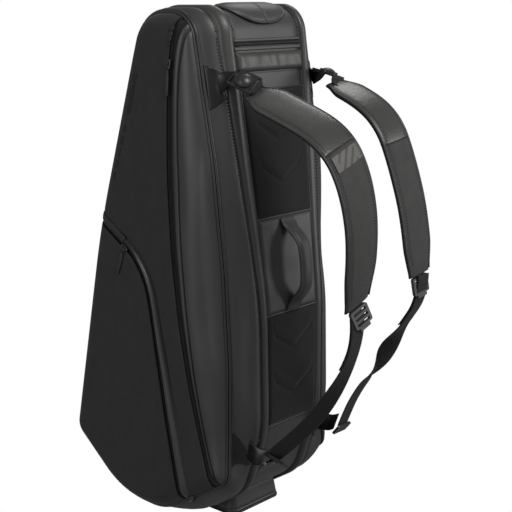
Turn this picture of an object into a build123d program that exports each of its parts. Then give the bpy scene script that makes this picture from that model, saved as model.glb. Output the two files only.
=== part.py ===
from build123d import *
import math
import os

# Racket tournament bag: an upright two-compartment bag with a harness, standing on its foot.
# Millimetres. x runs across the bag, y from the harness side to the front edge, z up.
# The outlines below are drawn from a level line FLOOR_DROP above the floor; every piece is
# raised by that much when it is saved, so that the origin is the centre of the foot's underside.

# ---- driving dimensions ----------------------------------------------------------------

FLOOR_DROP = 17.0               # floor below the level line of the outlines
WALL = 5.0                      # padded fabric of the body
PANEL_HALF = 88.0               # half the width of the middle panels
SEAM_X = 118.0                  # where gusset and side face are sewn together
FACE_X = 137.0                  # flat of the side face
FACE_WALL = 4.0                 # fabric of the side face
FACE_INSET = 2.0                # side face stands this far inside the seam outline
FACE_ROUND = 10.0               # rounding of the side face's rim
FACE_GAP = 0.4                  # side face clear of the gusset
PIPING_HEIGHT = 3.0             # edge piping, proud of the seam outline
PIPING_WIDTH = 4.0

# Outline of the side seam, as (y, z) corners with the radius of each.
SEAM_CORNERS = [
    (-75, 775), (26, 773), (130, 442), (205, 82), (92, -8),
    (2, -10), (-141, 72), (-143, 250), (-135, 395), (-118, 550),
]
SEAM_RADII = [45, 60, 1500, 32, 150, 100, 28, 300, 500, 500]

# Outline of the middle panels, which stand proud of the seam at the back and the front.
PANEL_CORNERS = [
    (-107, 779), (28, 778), (134, 442), (209, 79), (88, -11),
    (-45, -11), (-128, 42), (-165, 150), (-163, 340), (-137, 550),
]
PANEL_RADII = [40, 60, 1500, 34, 150, 100, 75, 200, 600, 600]

TOP_SPLIT_Z = 735.0             # top panel above this height
BOTTOM_SPLIT_Z = 75.0           # bottom panel below this height
DIVIDER_HALF = 4.0              # padded wall between the two compartments
BOARD_THICK = 2.0               # plastic stiffeners
BACK_BOARD_HALF = 60.0

# Main zip: a long shallow arc that turns back towards the spine at its top.
ZIP_TOP = (-44, 683)
ZIP_FOOT = (-119, 64)
ZIP_BULGE = 31.0
ZIP_HEAD = (-66, 776)
ZIP_SLOT = 3.2                  # half width of the slot in the fabric
ZIP_SPLIT = 0.2                 # half the gap between the two rows of teeth
ZIP_OUT_X = 136.2
ZIP_IN_X = 132.6
SLIDER_Z = 699.0                # closed slider's centre
SLIDER_LENGTH = 16.0
SLIDER_WIDTH = 9.0
SLIDER_HEIGHT = 4.6
SLIDER_CLEAR = 0.5
PULL_LENGTH = 38.0
PULL_WIDTH = 7.0
PULL_THICK = 2.4

# Pocket: a flatter region of the side face behind a zip with one wide bend.
POCKET_FOOT = (-58, -6)
POCKET_BEND = (16, 388)
POCKET_EDGE = (150, 468)
POCKET_BEND_R = 110.0
POCKET_PULL_DIR = (0.36, -0.93)  # the pocket's pull hangs down and forward
POCKET_SLOT = 3.0
POCKET_ZIP_GAP = 2.2            # between the zip and the folding mouth of the pocket
POCKET_PROUD = 1.5              # pocket stands this far out of the side face
POCKET_FLOOR_X = 128.0          # inner wall of the pocket
POCKET_WALL = 4.0
POCKET_LEDGE = 4.0
POCKET_RIM = 14.0               # fixed rim outside the folding flap
FOLD_TOP = (112, 441)           # line that the mouth of the pocket folds about
FOLD_FOOT = (-43, 36)
FOLD_GAP = 0.3

# Harness
STRAP_PIVOT_X = 114.5            # the line that a strap swings about, in the lower patches' seam
STRAP_PIVOT_Y = -148.0
STRAP_PIVOT_R = 1.5
STRAP_PIVOT_GAP = 0.9            # lower patches apart from each other where they meet
PAD_THICK = 12.0
WEB_THICK = 2.0
WEB_WIDTH = 25.0
WEB_X = 88.0
PAD_RULE = {"left": (58, -5, 24), "right": (58, -3, 10)}
PAD_ROUTE = {
    "left": [(-159, 655), (-222, 636), (-312, 602), (-352, 540), (-367, 450), (-356, 374)],
    "right": [(-170, 655), (-232, 645), (-278, 614), (-305, 556), (-333, 468), (-341, 392)],
}
PAD_SPLIT_Z = {"left": 596.0, "right": 586.0}
PAD_FIRST_X = {"left": -118.0, "right": 54.0}
WEB_ROUTE = {
    "left": [(-365, 342), (-348, 288), (-306, 216), (-242, 156), (-200, 122)],
    "right": [(-346, 356), (-322, 312), (-290, 262), (-240, 200), (-201, 130)],
}
BUCKLE_CENTRE = {"left": (-94, -153, 677), "right": (94, -153, 678)}
BUCKLE_NORMAL = {"left": (-0.54, -0.44, 0.72), "right": (0.2, -0.22, 0.95)}
BUCKLE_LENGTH = 42.0
BUCKLE_WIDTH = 33.0
BUCKLE_THICK = 3.0
BUCKLE_RING_R = 14.0
BUCKLE_RING_RISE = 3.0
BUTTON_R = 10.5
BUTTON_FIT = 0.06
BUTTON_RISE = 4.0
BUTTON_TRAVEL_ROOM = 2.6
SLOT_WIDTH = 4.0
SLOT_LENGTH = 25.0
LOCK_DROP = 3.0                 # top bar below the end of the pad
LOCK_WIDTH = 34.0
LOCK_LENGTH = 27.0
LOCK_THICK = 5.0
LOCK_BAR = 1.7                  # bar that the lock tilts on, below its top edge
LOCK_LEAN = {"left": 8.0, "right": 4.0}
GLIDE_CENTRE = {"left": (-88, -193, 113), "right": (88, -194, 120)}
GLIDE_LEAN = {"left": 48.0, "right": 50.0}
GLIDE_WIDTH = 32.0
GLIDE_LENGTH = 20.0
GLIDE_THICK = 4.0

ANCHOR_LOW_X = -116.0           # patches that the harness hangs from
ANCHOR_HIGH_X = -113.0
UPPER_ANCHOR = [(-84, 715), (-130, 700), (-130, 664), (-98, 650)]
ANCHOR_TOP_Z = 167.0
ANCHOR_FOOT_Z = 98.0
ANCHOR_TIP = [(-176, 122), (-181, 138)]
TAB_ROOT = [(-139, ANCHOR_TOP_Z), (-138, ANCHOR_FOOT_Z)]

# Handles and back fittings
HAUL_HALF_SPAN = 62.0
HAUL_FRONT_Y = -42.0            # haul handle lies over the top back corner, from here
HAUL_BACK_Z = 757.0             # down to here
HAUL_GAP = 4.5
HAUL_THICK = 5.0
HAUL_FOOT = 11.0                # each sewn end's length
HAUL_FOOT_GAP = 0.3
GRAB_TOP_Z = 474.0
GRAB_FOOT_Z = 322.0
GRAB_TOP_Y = -154.0
GRAB_FOOT_Y = -170.6
GRAB_REACH = 27.0
GRAB_THICK = 8.0
GRAB_WIDTH = 24.0
BACK_FITTINGS = {               # node: (low z, high z, half width low, half width high, height)
    "lower_back_pad": (153, 327, 55, 57, 4.0),
    "handle_panel": (328, 471, 57, 62, 5.0),
    "upper_back_pad": (472, 660, 62, 70, 4.0),
    "stow_band": (688, 714, 73, 74, 6.0),
}
FOOT_HALF = 57.0
FOOT_LENGTH = 184.0
FOOT_HEIGHT = 32.0
SOLE_THICK = 4.5

SIDES = ("left", "right")
FAR = 600.0                     # reach of cutting tools beyond the bag


# ---- helpers -----------------------------------------------------------------------------

def save(node, shape):
    """Write one node's STEP file, raised so that the floor is at z = 0."""
    export_step(Pos(0, 0, FLOOR_DROP) * shape, f"parts/{node}.step")


def outline(corners, radii):
    """A closed outline in the y-z plane with rounded corners, as a face."""
    return make_face(Plane.YZ * FilletPolyline(*corners, radius=radii, close=True))


def slab(face, low_x, high_x):
    """The outline's prism between two x positions."""
    return Pos(low_x, 0, 0) * extrude(face, amount=high_x - low_x, dir=(1, 0, 0))


def grown(face, amount):
    """The outline offset outwards, or inwards where the amount is negative."""
    return offset(face, amount=amount)


def block(low, high):
    """A box between two opposite corners."""
    size = [high[i] - low[i] for i in range(3)]
    centre = [(high[i] + low[i]) / 2 for i in range(3)]
    return Pos(*centre) * Box(*size)


def for_side(side, left_shape):
    """The left-hand shape, or its mirror image for the right."""
    solids = left_shape.solids()
    if side == "right":
        solids = [mirror(solid, about=Plane.YZ) for solid in solids]
    return solids[0] if len(solids) == 1 else Compound(children=solids)


def at_place(centre, along, normal):
    """A location whose x axis runs along a piece and whose z axis is its outward normal."""
    return Plane(origin=centre, x_dir=along, z_dir=normal).location


os.makedirs("parts", exist_ok=True)
seam_face = outline(SEAM_CORNERS, SEAM_RADII)
panel_face = outline(PANEL_CORNERS, PANEL_RADII)


# ---- body --------------------------------------------------------------------------------

def middle_ring():
    outer = slab(panel_face, -PANEL_HALF, PANEL_HALF)
    return outer - slab(grown(panel_face, -WALL), -PANEL_HALF, PANEL_HALF)


def panels():
    """The wall round the middle of the bag, as four sewn panels."""
    ring = middle_ring()
    top = block((-FAR, -FAR, TOP_SPLIT_Z), (FAR, FAR, FAR * 2))
    bottom = block((-FAR, -FAR, -FAR), (FAR, FAR, BOTTOM_SPLIT_Z))
    back = block((-FAR, -FAR, BOTTOM_SPLIT_Z), (FAR, 0, TOP_SPLIT_Z))
    front = block((-FAR, 0, BOTTOM_SPLIT_Z), (FAR, FAR, TOP_SPLIT_Z))
    save("top_panel", ring & top)
    save("bottom_panel", ring & bottom)
    save("back_panel", ring & back)
    save("front_panel", ring & front)


def between(near_face, far_face, near_x, far_x):
    """A straight-ruled solid between two outlines at two x positions."""
    near = Pos(-near_x, 0, 0) * near_face
    far = Pos(-far_x, 0, 0) * far_face
    return loft([near, far], ruled=True)


def left_gusset():
    """The band from the middle panels to the side seam."""
    outer = between(panel_face, seam_face, PANEL_HALF, SEAM_X)
    inner = slab(grown(seam_face, -2 * WALL), -SEAM_X, -PANEL_HALF)
    return outer - inner


def left_piping():
    """The bead sewn round the side seam."""
    ring = grown(seam_face, PIPING_HEIGHT) - grown(seam_face, -PIPING_HEIGHT / 2)
    band = slab(ring, -SEAM_X, -(SEAM_X - PIPING_WIDTH))
    return band - left_gusset()


def divider():
    """The padded wall between the two compartments."""
    return slab(grown(panel_face, -WALL), -DIVIDER_HALF, DIVIDER_HALF)


def back_board():
    """The stiffener sewn behind the back panel, clear of the divider."""
    shell = grown(panel_face, -WALL) - grown(panel_face, -WALL - BOARD_THICK)
    sheet = slab(shell, -BACK_BOARD_HALF, BACK_BOARD_HALF)
    low, high = BACK_FITTINGS["lower_back_pad"][0], BACK_FITTINGS["upper_back_pad"][1]
    reach = block((-FAR, -FAR, low), (FAR, 0, high))
    return (sheet & reach) - divider()


# ---- side face: zip, lid, pocket ----------------------------------------------------------

def arc_between(start, end, bulge):
    """Radius and centre of the arc over a chord, bulging to the +y side of it."""
    chord = Vector(*end) - Vector(*start)
    radius = chord.length ** 2 / (8 * bulge) + bulge / 2
    normal = Vector(abs(chord.Y), -abs(chord.X), 0).normalized()
    middle = (Vector(*start) + Vector(*end)) * 0.5
    return radius, middle - normal * (radius - bulge), middle + normal * bulge


zip_radius, zip_centre, zip_middle = arc_between(ZIP_FOOT, ZIP_TOP, ZIP_BULGE)


def on_zip(height):
    """The point (y, z) of the main zip's long arc at a height."""
    across = math.sqrt(zip_radius ** 2 - (height - zip_centre.Y) ** 2)
    return Vector(zip_centre.X + across, height)


def zip_track():
    """The whole line of the main zip, run on past the bag at both ends."""
    foot = Vector(*ZIP_FOOT)
    long_arc = ThreePointArc(foot, zip_middle, ZIP_TOP)
    head = TangentArc([ZIP_TOP, ZIP_HEAD], tangent=long_arc % 1)
    below = Line(foot - (long_arc % 0) * FAR / 4, foot)
    above = Line(head @ 1, head @ 1 + (head % 1) * FAR / 4)
    return [below, long_arc, head, above]


def pocket_track():
    """The whole line of the pocket's zip, run on past the bag at its lower end."""
    return [FilletPolyline(POCKET_FOOT, POCKET_BEND, POCKET_EDGE, radius=POCKET_BEND_R)]


def ahead_of(track, closing):
    """The region on the front side of a line, closed by far corners, as a face."""
    start, end = track[0] @ 0, track[-1] @ 1
    corners = [end] + [Vector(*point) for point in closing] + [start]
    return make_face(Plane.YZ * Curve(track + [Polyline(*corners)]))


zip_front_face = ahead_of(zip_track(), [(FAR, FAR * 2), (FAR, -FAR)])
pocket_zone_face = ahead_of(pocket_track(), [(FAR, FAR), (FAR, -FAR), (-58, -FAR)])


def zip_front(shift):
    """Everything on the lid's side of the main zip, its edge moved by a shift."""
    return Pos(0, shift, 0) * slab(zip_front_face, -FAR, 0)


def pocket_zone(shift):
    """Everything inside the pocket's zip, its edge moved inwards by a shift."""
    return Pos(0, 0.8 * shift, -0.6 * shift) * slab(pocket_zone_face, -FAR, 0)


def dish(outer_x, base_x, wall, floor_x):
    """A shallow dish of the side face: its rim round the outline and its flat face."""
    rim = grown(seam_face, -FACE_INSET)
    body = slab(rim, -outer_x, -base_x)
    edges = body.edges().filter_by_position(Axis.X, -outer_x - 0.01, -outer_x + 0.01)
    body = fillet(edges, radius=FACE_ROUND)
    return body - slab(grown(rim, -wall), -floor_x, -base_x)


side_base = SEAM_X + FACE_GAP


def face_dish():
    """The whole side face before the zip divides it."""
    return dish(FACE_X, side_base, FACE_WALL, FACE_X - FACE_WALL)


def left_spine_border():
    """The fixed strip of the side face, from the spine to the main zip."""
    return face_dish() - zip_front(-ZIP_SLOT)


def left_lid():
    """The opening part of the side face, with the recess that holds the pocket."""
    skin = face_dish() & zip_front(ZIP_SLOT)
    inside = slab(grown(seam_face, -FACE_INSET - 1), -FACE_X, -side_base)
    recess = pocket_zone(-POCKET_SLOT) & block((-FAR, -FAR, -FAR), (-POCKET_FLOOR_X, FAR, FAR))
    ledge_zone = pocket_zone(-POCKET_SLOT - POCKET_LEDGE) & inside & zip_front(ZIP_SLOT)
    floor = ledge_zone & block(
        (-POCKET_FLOOR_X, -FAR, -FAR), (-POCKET_FLOOR_X + POCKET_WALL, FAR, FAR))
    wall = (ledge_zone - pocket_zone(-POCKET_SLOT)) & block(
        (-FACE_X + FACE_WALL, -FAR, -FAR), (-POCKET_FLOOR_X + POCKET_WALL, FAR, FAR))
    return (skin - recess) + floor + wall


def flap_zone(gap):
    """The part of the pocket between its zip and its fold line, clear of the rim."""
    top, foot = Vector(*FOLD_TOP), Vector(*FOLD_FOOT)
    away = (top - foot).normalized()
    side = Vector(-away.Y, away.X)
    corners = [foot + side * gap - away * FAR, top + side * gap + away * FAR]
    corners += [corners[1] + side * FAR, corners[0] + side * FAR]
    beyond = slab(make_face(Plane.YZ * Polyline(*corners, close=True)), -FAR, 0)
    inside = slab(grown(seam_face, -POCKET_RIM - gap), -FAR, 0)
    return beyond & inside


def pocket_shell():
    """The pocket's outer panel and rim, before the mouth is cut from it."""
    outer_x = FACE_X + POCKET_PROUD
    shell = dish(outer_x, POCKET_FLOOR_X + FACE_GAP, POCKET_WALL, outer_x - POCKET_WALL)
    return shell & pocket_zone(POCKET_SLOT) & zip_front(ZIP_SLOT + 1)


def left_pocket_panel():
    return pocket_shell() - flap_zone(-FOLD_GAP)


def left_pocket_flap():
    """The mouth of the pocket, which folds forwards about the line between its zip's ends."""
    return pocket_shell() & flap_zone(FOLD_GAP)


def zip_rows():
    """The two rows of teeth of the main zip: the spine's and the lid's."""
    strip = slab(grown(seam_face, -FACE_INSET - FACE_ROUND), -ZIP_OUT_X, -ZIP_IN_X)
    spine_row = (strip & zip_front(-ZIP_SLOT)) - zip_front(-ZIP_SPLIT)
    lid_row = (strip & zip_front(ZIP_SPLIT)) - zip_front(ZIP_SLOT)
    return spine_row, lid_row


def left_pocket_zip():
    strip = slab(grown(seam_face, -FACE_INSET - FACE_ROUND), -ZIP_OUT_X, -ZIP_IN_X)
    half = POCKET_SLOT - POCKET_ZIP_GAP
    return (strip & pocket_zone(-POCKET_SLOT) & zip_front(ZIP_SLOT)) - pocket_zone(half)


def slider(point, direction, base_x):
    """A zip slider: a low body with a bridge for its pull, nose along the direction."""
    place = at_place((-base_x - SLIDER_CLEAR, point.X, point.Y), (0, direction.X, direction.Y), (-1, 0, 0))
    body = Pos(0, 0, SLIDER_HEIGHT / 4) * Box(SLIDER_LENGTH, SLIDER_WIDTH, SLIDER_HEIGHT / 2)
    body = fillet(body.edges().filter_by(Axis.Z), radius=SLIDER_WIDTH / 4)
    bridge = Pos(0, 0, SLIDER_HEIGHT * 0.7) * Box(SLIDER_LENGTH * 0.55, 2.4, SLIDER_HEIGHT * 0.6)
    return place * (body + bridge)


def pull(point, direction, base_x):
    """A pull tab that hangs from the slider's nose, flat against the face."""
    place = at_place((-base_x - SLIDER_CLEAR, point.X, point.Y), (0, direction.X, direction.Y), (-1, 0, 0))
    start = SLIDER_LENGTH / 2 + 0.5
    tab = Pos(start + PULL_LENGTH / 2, 0, SLIDER_HEIGHT * 0.45) * Box(PULL_LENGTH, PULL_WIDTH, PULL_THICK)
    return place * fillet(tab.edges().filter_by(Axis.Z), radius=PULL_WIDTH * 0.3)


def anchor(corners):
    """A flat reinforcing patch that stands out from the side seam, on the left."""
    patch = make_face(Plane.YZ * Polyline(*corners, close=True))
    return slab(patch, ANCHOR_LOW_X, ANCHOR_HIGH_X)


def lower_patches():
    """The lower patch's sewn tab, rounded about the pivot, and the patch that swings from it."""
    line = STRAP_PIVOT_Y
    tab_foot, tab_top = TAB_ROOT[1], TAB_ROOT[0]
    tab = anchor([tab_top, (line, ANCHOR_TOP_Z), (line, ANCHOR_FOOT_Z), tab_foot])
    length = ANCHOR_TOP_Z - ANCHOR_FOOT_Z
    middle = (-STRAP_PIVOT_X, line, (ANCHOR_TOP_Z + ANCHOR_FOOT_Z) / 2)
    tab = tab + Pos(*middle) * Cylinder(STRAP_PIVOT_R, length)
    edge = line - STRAP_PIVOT_R - STRAP_PIVOT_GAP
    patch = anchor([(edge, ANCHOR_TOP_Z), (edge, ANCHOR_FOOT_Z)] + ANCHOR_TIP)
    return tab, patch


def left_side():
    """Everything on the left side face, and the patches of its harness."""
    spine_row, lid_row = zip_rows()
    bend = pocket_track()[0]
    run_end = Vector(*POCKET_BEND)
    up = (Vector(*POCKET_EDGE) - run_end).normalized()
    turn = (bend % 0).get_angle(bend % 1)
    reach = POCKET_BEND_R * math.tan(math.radians(turn / 2))
    pocket_point = run_end + up * reach
    main_point = on_zip(SLIDER_Z)
    main_dir = Vector(-(main_point.Y - zip_centre.Y), main_point.X - zip_centre.X).normalized() * -1
    pocket_out = FACE_X + POCKET_PROUD
    gusset = left_gusset()
    piping = left_piping()
    clear = gusset + slab(panel_face, -PANEL_HALF, 0) + piping
    tab, patch = lower_patches()
    return {
        "gusset": gusset,
        "edge_piping": piping,
        "spine_border": left_spine_border(),
        "spine_zip": spine_row,
        "lid": left_lid(),
        "lid_zip": lid_row,
        "main_slider": slider(main_point, main_dir, FACE_X),
        "main_pull": pull(main_point, main_dir, FACE_X),
        "pocket_panel": left_pocket_panel(),
        "pocket_flap": left_pocket_flap(),
        "pocket_zip": left_pocket_zip(),
        "pocket_slider": slider(pocket_point, up * -1, pocket_out),
        "pocket_pull": pull(pocket_point, Vector(*POCKET_PULL_DIR).normalized(), pocket_out),
        "upper_anchor": anchor(UPPER_ANCHOR) - clear,
        "lower_anchor": patch,
        "lower_tab": tab - clear,
    }


# ---- back fittings -------------------------------------------------------------------------

def back_fitting(low_z, high_z, half_low, half_high, height):
    """A pad sewn on the back panel, following its curve and tapering with it."""
    skin = grown(panel_face, height) - grown(panel_face, 0)
    band = slab(skin, -PANEL_HALF, PANEL_HALF)
    corners = [(-half_low, low_z), (half_low, low_z), (half_high, high_z), (-half_high, high_z)]
    window = extrude(Plane.XZ * make_face(Polyline(*corners, close=True)), amount=FAR)
    return band & window


def foot_and_sole():
    """The base block under the body and its rubber sole."""
    body = slab(panel_face, -PANEL_HALF, PANEL_HALF)
    half = FOOT_LENGTH / 2
    low = SOLE_THICK - FLOOR_DROP
    foot = block((-FOOT_HALF, -half, low), (FOOT_HALF, half, FOOT_HEIGHT))
    sole = block((-FOOT_HALF, -half, -FLOOR_DROP), (FOOT_HALF, half, low))
    save("foot", foot - body)
    save("foot_sole", fillet(sole.edges().filter_by(Axis.Z), radius=6))


def arch(half_span, rise, thick, width):
    """A padded handle: a flat-topped arch along x, its rounded feet at z = 0."""
    slope = rise * 1.1
    corners = [
        (-half_span, 0), (-half_span + slope, rise), (0, rise * 1.06),
        (half_span - slope, rise), (half_span, 0),
    ]
    line = FilletPolyline(*corners, radius=[slope * 0.8, 400, slope * 0.8])
    band = make_face(line.offset_2d(thick, side=Side.RIGHT, closed=True))
    handle = extrude(Plane.XZ * band, amount=width / 2, both=True)
    foot = Rot(0, 90, 0) * Cylinder(width / 2, 2 * half_span)
    above = Pos(0, 0, rise) * Box(2 * half_span, width, 2 * rise)
    return handle & (Pos(0, 0, width / 2) * (foot + above))


grab_line = Vector(0, GRAB_TOP_Y - GRAB_FOOT_Y, GRAB_TOP_Z - GRAB_FOOT_Z)
grab_middle = Vector(0, (GRAB_TOP_Y + GRAB_FOOT_Y) / 2, (GRAB_TOP_Z + GRAB_FOOT_Z) / 2)
grab_out = Vector(0, -grab_line.Z, grab_line.Y).normalized()


def haul_handle():
    """The broad padded handle that lies over the top back corner, sewn down at both ends."""
    outer = grown(panel_face, HAUL_GAP + HAUL_THICK)
    inner_end = HAUL_HALF_SPAN - HAUL_FOOT
    bridge = slab(outer - grown(panel_face, HAUL_GAP), -HAUL_HALF_SPAN, HAUL_HALF_SPAN)
    foot = outer - grown(panel_face, HAUL_FOOT_GAP)
    bridge += slab(foot, -HAUL_HALF_SPAN, -inner_end)
    bridge += slab(foot, inner_end, HAUL_HALF_SPAN)
    return bridge & block((-FAR, -FAR, HAUL_BACK_Z), (FAR, HAUL_FRONT_Y, FAR * 2))


def handles():
    save("haul_handle", haul_handle())
    grab = arch(grab_line.length / 2, GRAB_REACH, GRAB_THICK, GRAB_WIDTH)
    save("grab_handle", at_place(grab_middle, grab_line, grab_out) * grab)


# ---- harness -------------------------------------------------------------------------------

def soft_route(corners):
    """A route of straight runs joined by arcs as large as the runs allow."""
    points = [Vector(*corner) for corner in corners]
    runs = [b - a for a, b in zip(points, points[1:])]
    radii = []
    for before, after in zip(runs, runs[1:]):
        turn = math.radians(before.get_angle(after))
        radii.append(0.45 * min(before.length, after.length) / math.tan(turn / 2))
    return FilletPolyline(*points, radius=radii)


def strip(corners, thick):
    """The section of a strap in the y-z plane, its thickness on the bag's side."""
    line = soft_route(corners)
    return Plane.YZ * make_face(line.offset_2d(thick, side=Side.LEFT, closed=True))


def shoulder_pad(side):
    """The padded part of the strap, as its coated upper piece and its textile lower piece."""
    rule = Vector(*PAD_RULE[side])
    section = strip(PAD_ROUTE[side], PAD_THICK)
    pad = Pos(PAD_FIRST_X[side], 0, 0) * extrude(section, amount=rule.length, dir=rule.normalized())
    across = Vector(0, -1, 1.4 if side == "left" else 1.2)
    cut = Plane(origin=(PAD_FIRST_X[side], -310 if side == "left" else -290, PAD_SPLIT_Z[side]),
                x_dir=rule.normalized(), z_dir=rule.cross(across).normalized())
    return split(pad, bisect_by=cut, keep=Keep.BOTH)


def webbing(side):
    x = -WEB_X if side == "left" else WEB_X
    return Pos(x - WEB_WIDTH / 2, 0, 0) * extrude(
        strip(WEB_ROUTE[side], WEB_THICK), amount=WEB_WIDTH, dir=(1, 0, 0))


def slotted_plate(length, width, thick, slots):
    """A rounded moulded plate with webbing slots across it at the given places."""
    plate = Pos(0, 0, thick / 2) * Box(length, width, thick)
    plate = fillet(plate.edges().filter_by(Axis.Z), radius=3)
    for place in slots:
        plate -= Pos(place, 0, thick / 2) * Box(SLOT_WIDTH, SLOT_LENGTH, thick * 2)
    return plate


def buckle_place(side):
    normal = Vector(*BUCKLE_NORMAL[side])
    along = Vector(0, -1, 0)
    along = (along - normal * (along.dot(normal) / normal.dot(normal))).normalized()
    return at_place(BUCKLE_CENTRE[side], along, normal)


def buckle():
    """The release buckle: a slotted plate with a round housing for its button."""
    edge = BUCKLE_LENGTH / 2 - SLOT_WIDTH
    plate = slotted_plate(BUCKLE_LENGTH, BUCKLE_WIDTH, BUCKLE_THICK, [-edge, edge])
    housing = Pos(0, 0, (BUCKLE_THICK + BUCKLE_RING_RISE) / 2) * Cylinder(
        BUCKLE_RING_R, BUCKLE_THICK + BUCKLE_RING_RISE)
    bore = Pos(0, 0, BUCKLE_THICK + BUCKLE_RING_RISE) * Cylinder(
        BUTTON_R, 2 * (BUCKLE_THICK + BUCKLE_RING_RISE - 1))
    return (plate + housing) - bore


def button():
    """The domed release button, free to be pressed into its housing."""
    foot = 1 + BUTTON_TRAVEL_ROOM
    rim = BUCKLE_THICK + BUCKLE_RING_RISE
    radius = BUTTON_R - BUTTON_FIT
    dome_r = (radius ** 2 + BUTTON_RISE ** 2) / (2 * BUTTON_RISE)
    shank = Pos(0, 0, (foot + rim) / 2) * Cylinder(radius, rim - foot)
    dome = Pos(0, 0, rim + BUTTON_RISE - dome_r) * Sphere(dome_r)
    cap = dome & (Pos(0, 0, rim + BUTTON_RISE) * Box(4 * radius, 4 * radius, 2 * BUTTON_RISE))
    return shank + cap


def lock_frame(side):
    """The lock's top edge centre, its direction down and its direction outwards."""
    rule = Vector(*PAD_RULE[side])
    end = Vector(PAD_FIRST_X[side], *PAD_ROUTE[side][-1]) + rule * 0.5
    lean = math.radians(LOCK_LEAN[side])
    down = Vector(0, -math.sin(lean), -math.cos(lean))
    across = rule.normalized()
    down = (down - across * down.dot(across)).normalized()
    out = down.cross(across) * (1 if down.cross(across).Y < 0 else -1)
    top = end - out * (PAD_THICK / 2) + down * LOCK_DROP
    return top, down, out


def ladder_lock(side):
    """The adjuster below the pad: a frame with two bars and a lifting tab."""
    body = Box(LOCK_LENGTH, LOCK_WIDTH, LOCK_THICK)
    body = fillet(body.edges().filter_by(Axis.Z), radius=3)
    for place in (-7.5, 0.5, 8.5):
        body -= Pos(place, 0, 0) * Box(SLOT_WIDTH, SLOT_LENGTH, LOCK_THICK * 2)
    tab = Pos(LOCK_LENGTH / 2 + 2, 0, LOCK_THICK / 4) * Box(6, LOCK_WIDTH * 0.6, LOCK_THICK / 2)
    body = Pos(LOCK_LENGTH / 2, 0, 0) * (body + tab)
    top, down, out = lock_frame(side)
    return at_place(top, down, out) * body


def triglide(side):
    """The slotted bar that joins the webbing to its lower anchor."""
    lean = math.radians(GLIDE_LEAN[side])
    along = (0, math.cos(lean), -math.sin(lean))
    out = (0, -math.sin(lean), -math.cos(lean))
    plate = slotted_plate(GLIDE_LENGTH, GLIDE_WIDTH, GLIDE_THICK, [-4.5, 4.5])
    return at_place(GLIDE_CENTRE[side], along, out) * plate


def harness(side):
    """The shoulder strap of one side with its hardware."""
    upper, lower = sorted(shoulder_pad(side).solids(), key=lambda part: -part.center().Z)
    save(f"{side}_strap_upper_pad", upper)
    save(f"{side}_strap_lower_pad", lower)
    save(f"{side}_strap_webbing", webbing(side))
    save(f"{side}_buckle", buckle_place(side) * buckle())
    save(f"{side}_buckle_button", buckle_place(side) * button())
    save(f"{side}_ladder_lock", ladder_lock(side))
    save(f"{side}_triglide", triglide(side))


# ---- build ---------------------------------------------------------------------------------

panels()
save("divider", divider())
save("back_board", back_board())
for fitting, measures in BACK_FITTINGS.items():
    save(fitting, back_fitting(*measures))
foot_and_sole()
handles()
side_nodes = left_side()
for side_name in SIDES:
    for name, shape in side_nodes.items():
        save(f"{side_name}_{name}", for_side(side_name, shape))
    harness(side_name)
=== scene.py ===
import math
import bmesh
import bpy
import numpy as np
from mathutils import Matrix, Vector

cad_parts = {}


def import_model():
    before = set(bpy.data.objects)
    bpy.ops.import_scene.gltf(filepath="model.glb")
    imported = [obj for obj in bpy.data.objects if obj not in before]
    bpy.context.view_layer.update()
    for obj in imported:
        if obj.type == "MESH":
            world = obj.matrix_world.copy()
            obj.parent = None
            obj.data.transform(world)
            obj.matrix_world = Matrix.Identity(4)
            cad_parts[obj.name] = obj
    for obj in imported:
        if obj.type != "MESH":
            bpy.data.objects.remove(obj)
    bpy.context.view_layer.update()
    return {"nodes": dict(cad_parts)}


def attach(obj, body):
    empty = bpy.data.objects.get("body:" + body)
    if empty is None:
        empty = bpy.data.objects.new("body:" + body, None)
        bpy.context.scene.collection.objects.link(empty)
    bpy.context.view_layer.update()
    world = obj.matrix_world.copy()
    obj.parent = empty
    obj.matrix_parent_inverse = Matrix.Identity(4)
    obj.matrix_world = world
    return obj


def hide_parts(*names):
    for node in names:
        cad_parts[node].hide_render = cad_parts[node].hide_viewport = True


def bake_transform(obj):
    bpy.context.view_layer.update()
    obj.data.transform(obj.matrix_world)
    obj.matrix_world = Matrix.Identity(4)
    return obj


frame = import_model()

# Racket tournament bag. Outlines are in millimetres from their own level line, x across, y from the
# harness to the front and z up. Meshes are built in metres above the floor, in the CAD frame.

# ---- driving dimensions -------------------------------------------------------------------

MM = 0.001                       # metres in a millimetre
FLOOR_DROP = 17.0                # floor below the level line that the outlines are drawn from
SEAM_CORNERS = [
    (-75, 775), (26, 773), (130, 442), (205, 82), (92, -8),
    (2, -10), (-141, 72), (-143, 250), (-135, 395), (-118, 550),
]
SEAM_RADII = [45, 60, 1500, 32, 150, 100, 28, 300, 500, 500]
PANEL_CORNERS = [
    (-107, 779), (28, 778), (134, 442), (209, 79), (88, -11),
    (-45, -11), (-128, 42), (-165, 150), (-163, 340), (-137, 550),
]
PANEL_RADII = [40, 60, 1500, 34, 150, 100, 75, 200, 600, 600]
SEAM_X = 118.0                   # side seam, from the middle plane
FACE_ROUND = 24.0                # rounding of the face's rim, in the plane of the face
RIM_INSET = 2.0                  # the face's rim lies this far inside the side seam
RIB_WIDTH = [(300, 13.5), (560, 20.0)]  # raised rib beside the back panel, by height
BORDER_HALF = [(150, 54.5), (377, 57.5), (545, 65.0), (720, 75.0)]

# Main zip: its arc's ends, its bulge and its head; then the pocket zip's run round its bend, as (y, z).
ZIP_TOP = (-44, 683)
ZIP_FOOT = (-119, 64)
ZIP_BULGE = 31.0
ZIP_HEAD = (-66, 776)
POCKET_FOOT = (-58, -6)
POCKET_BEND = (16, 388)
POCKET_EDGE = (150, 468)
POCKET_BEND_R = 110.0

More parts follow.
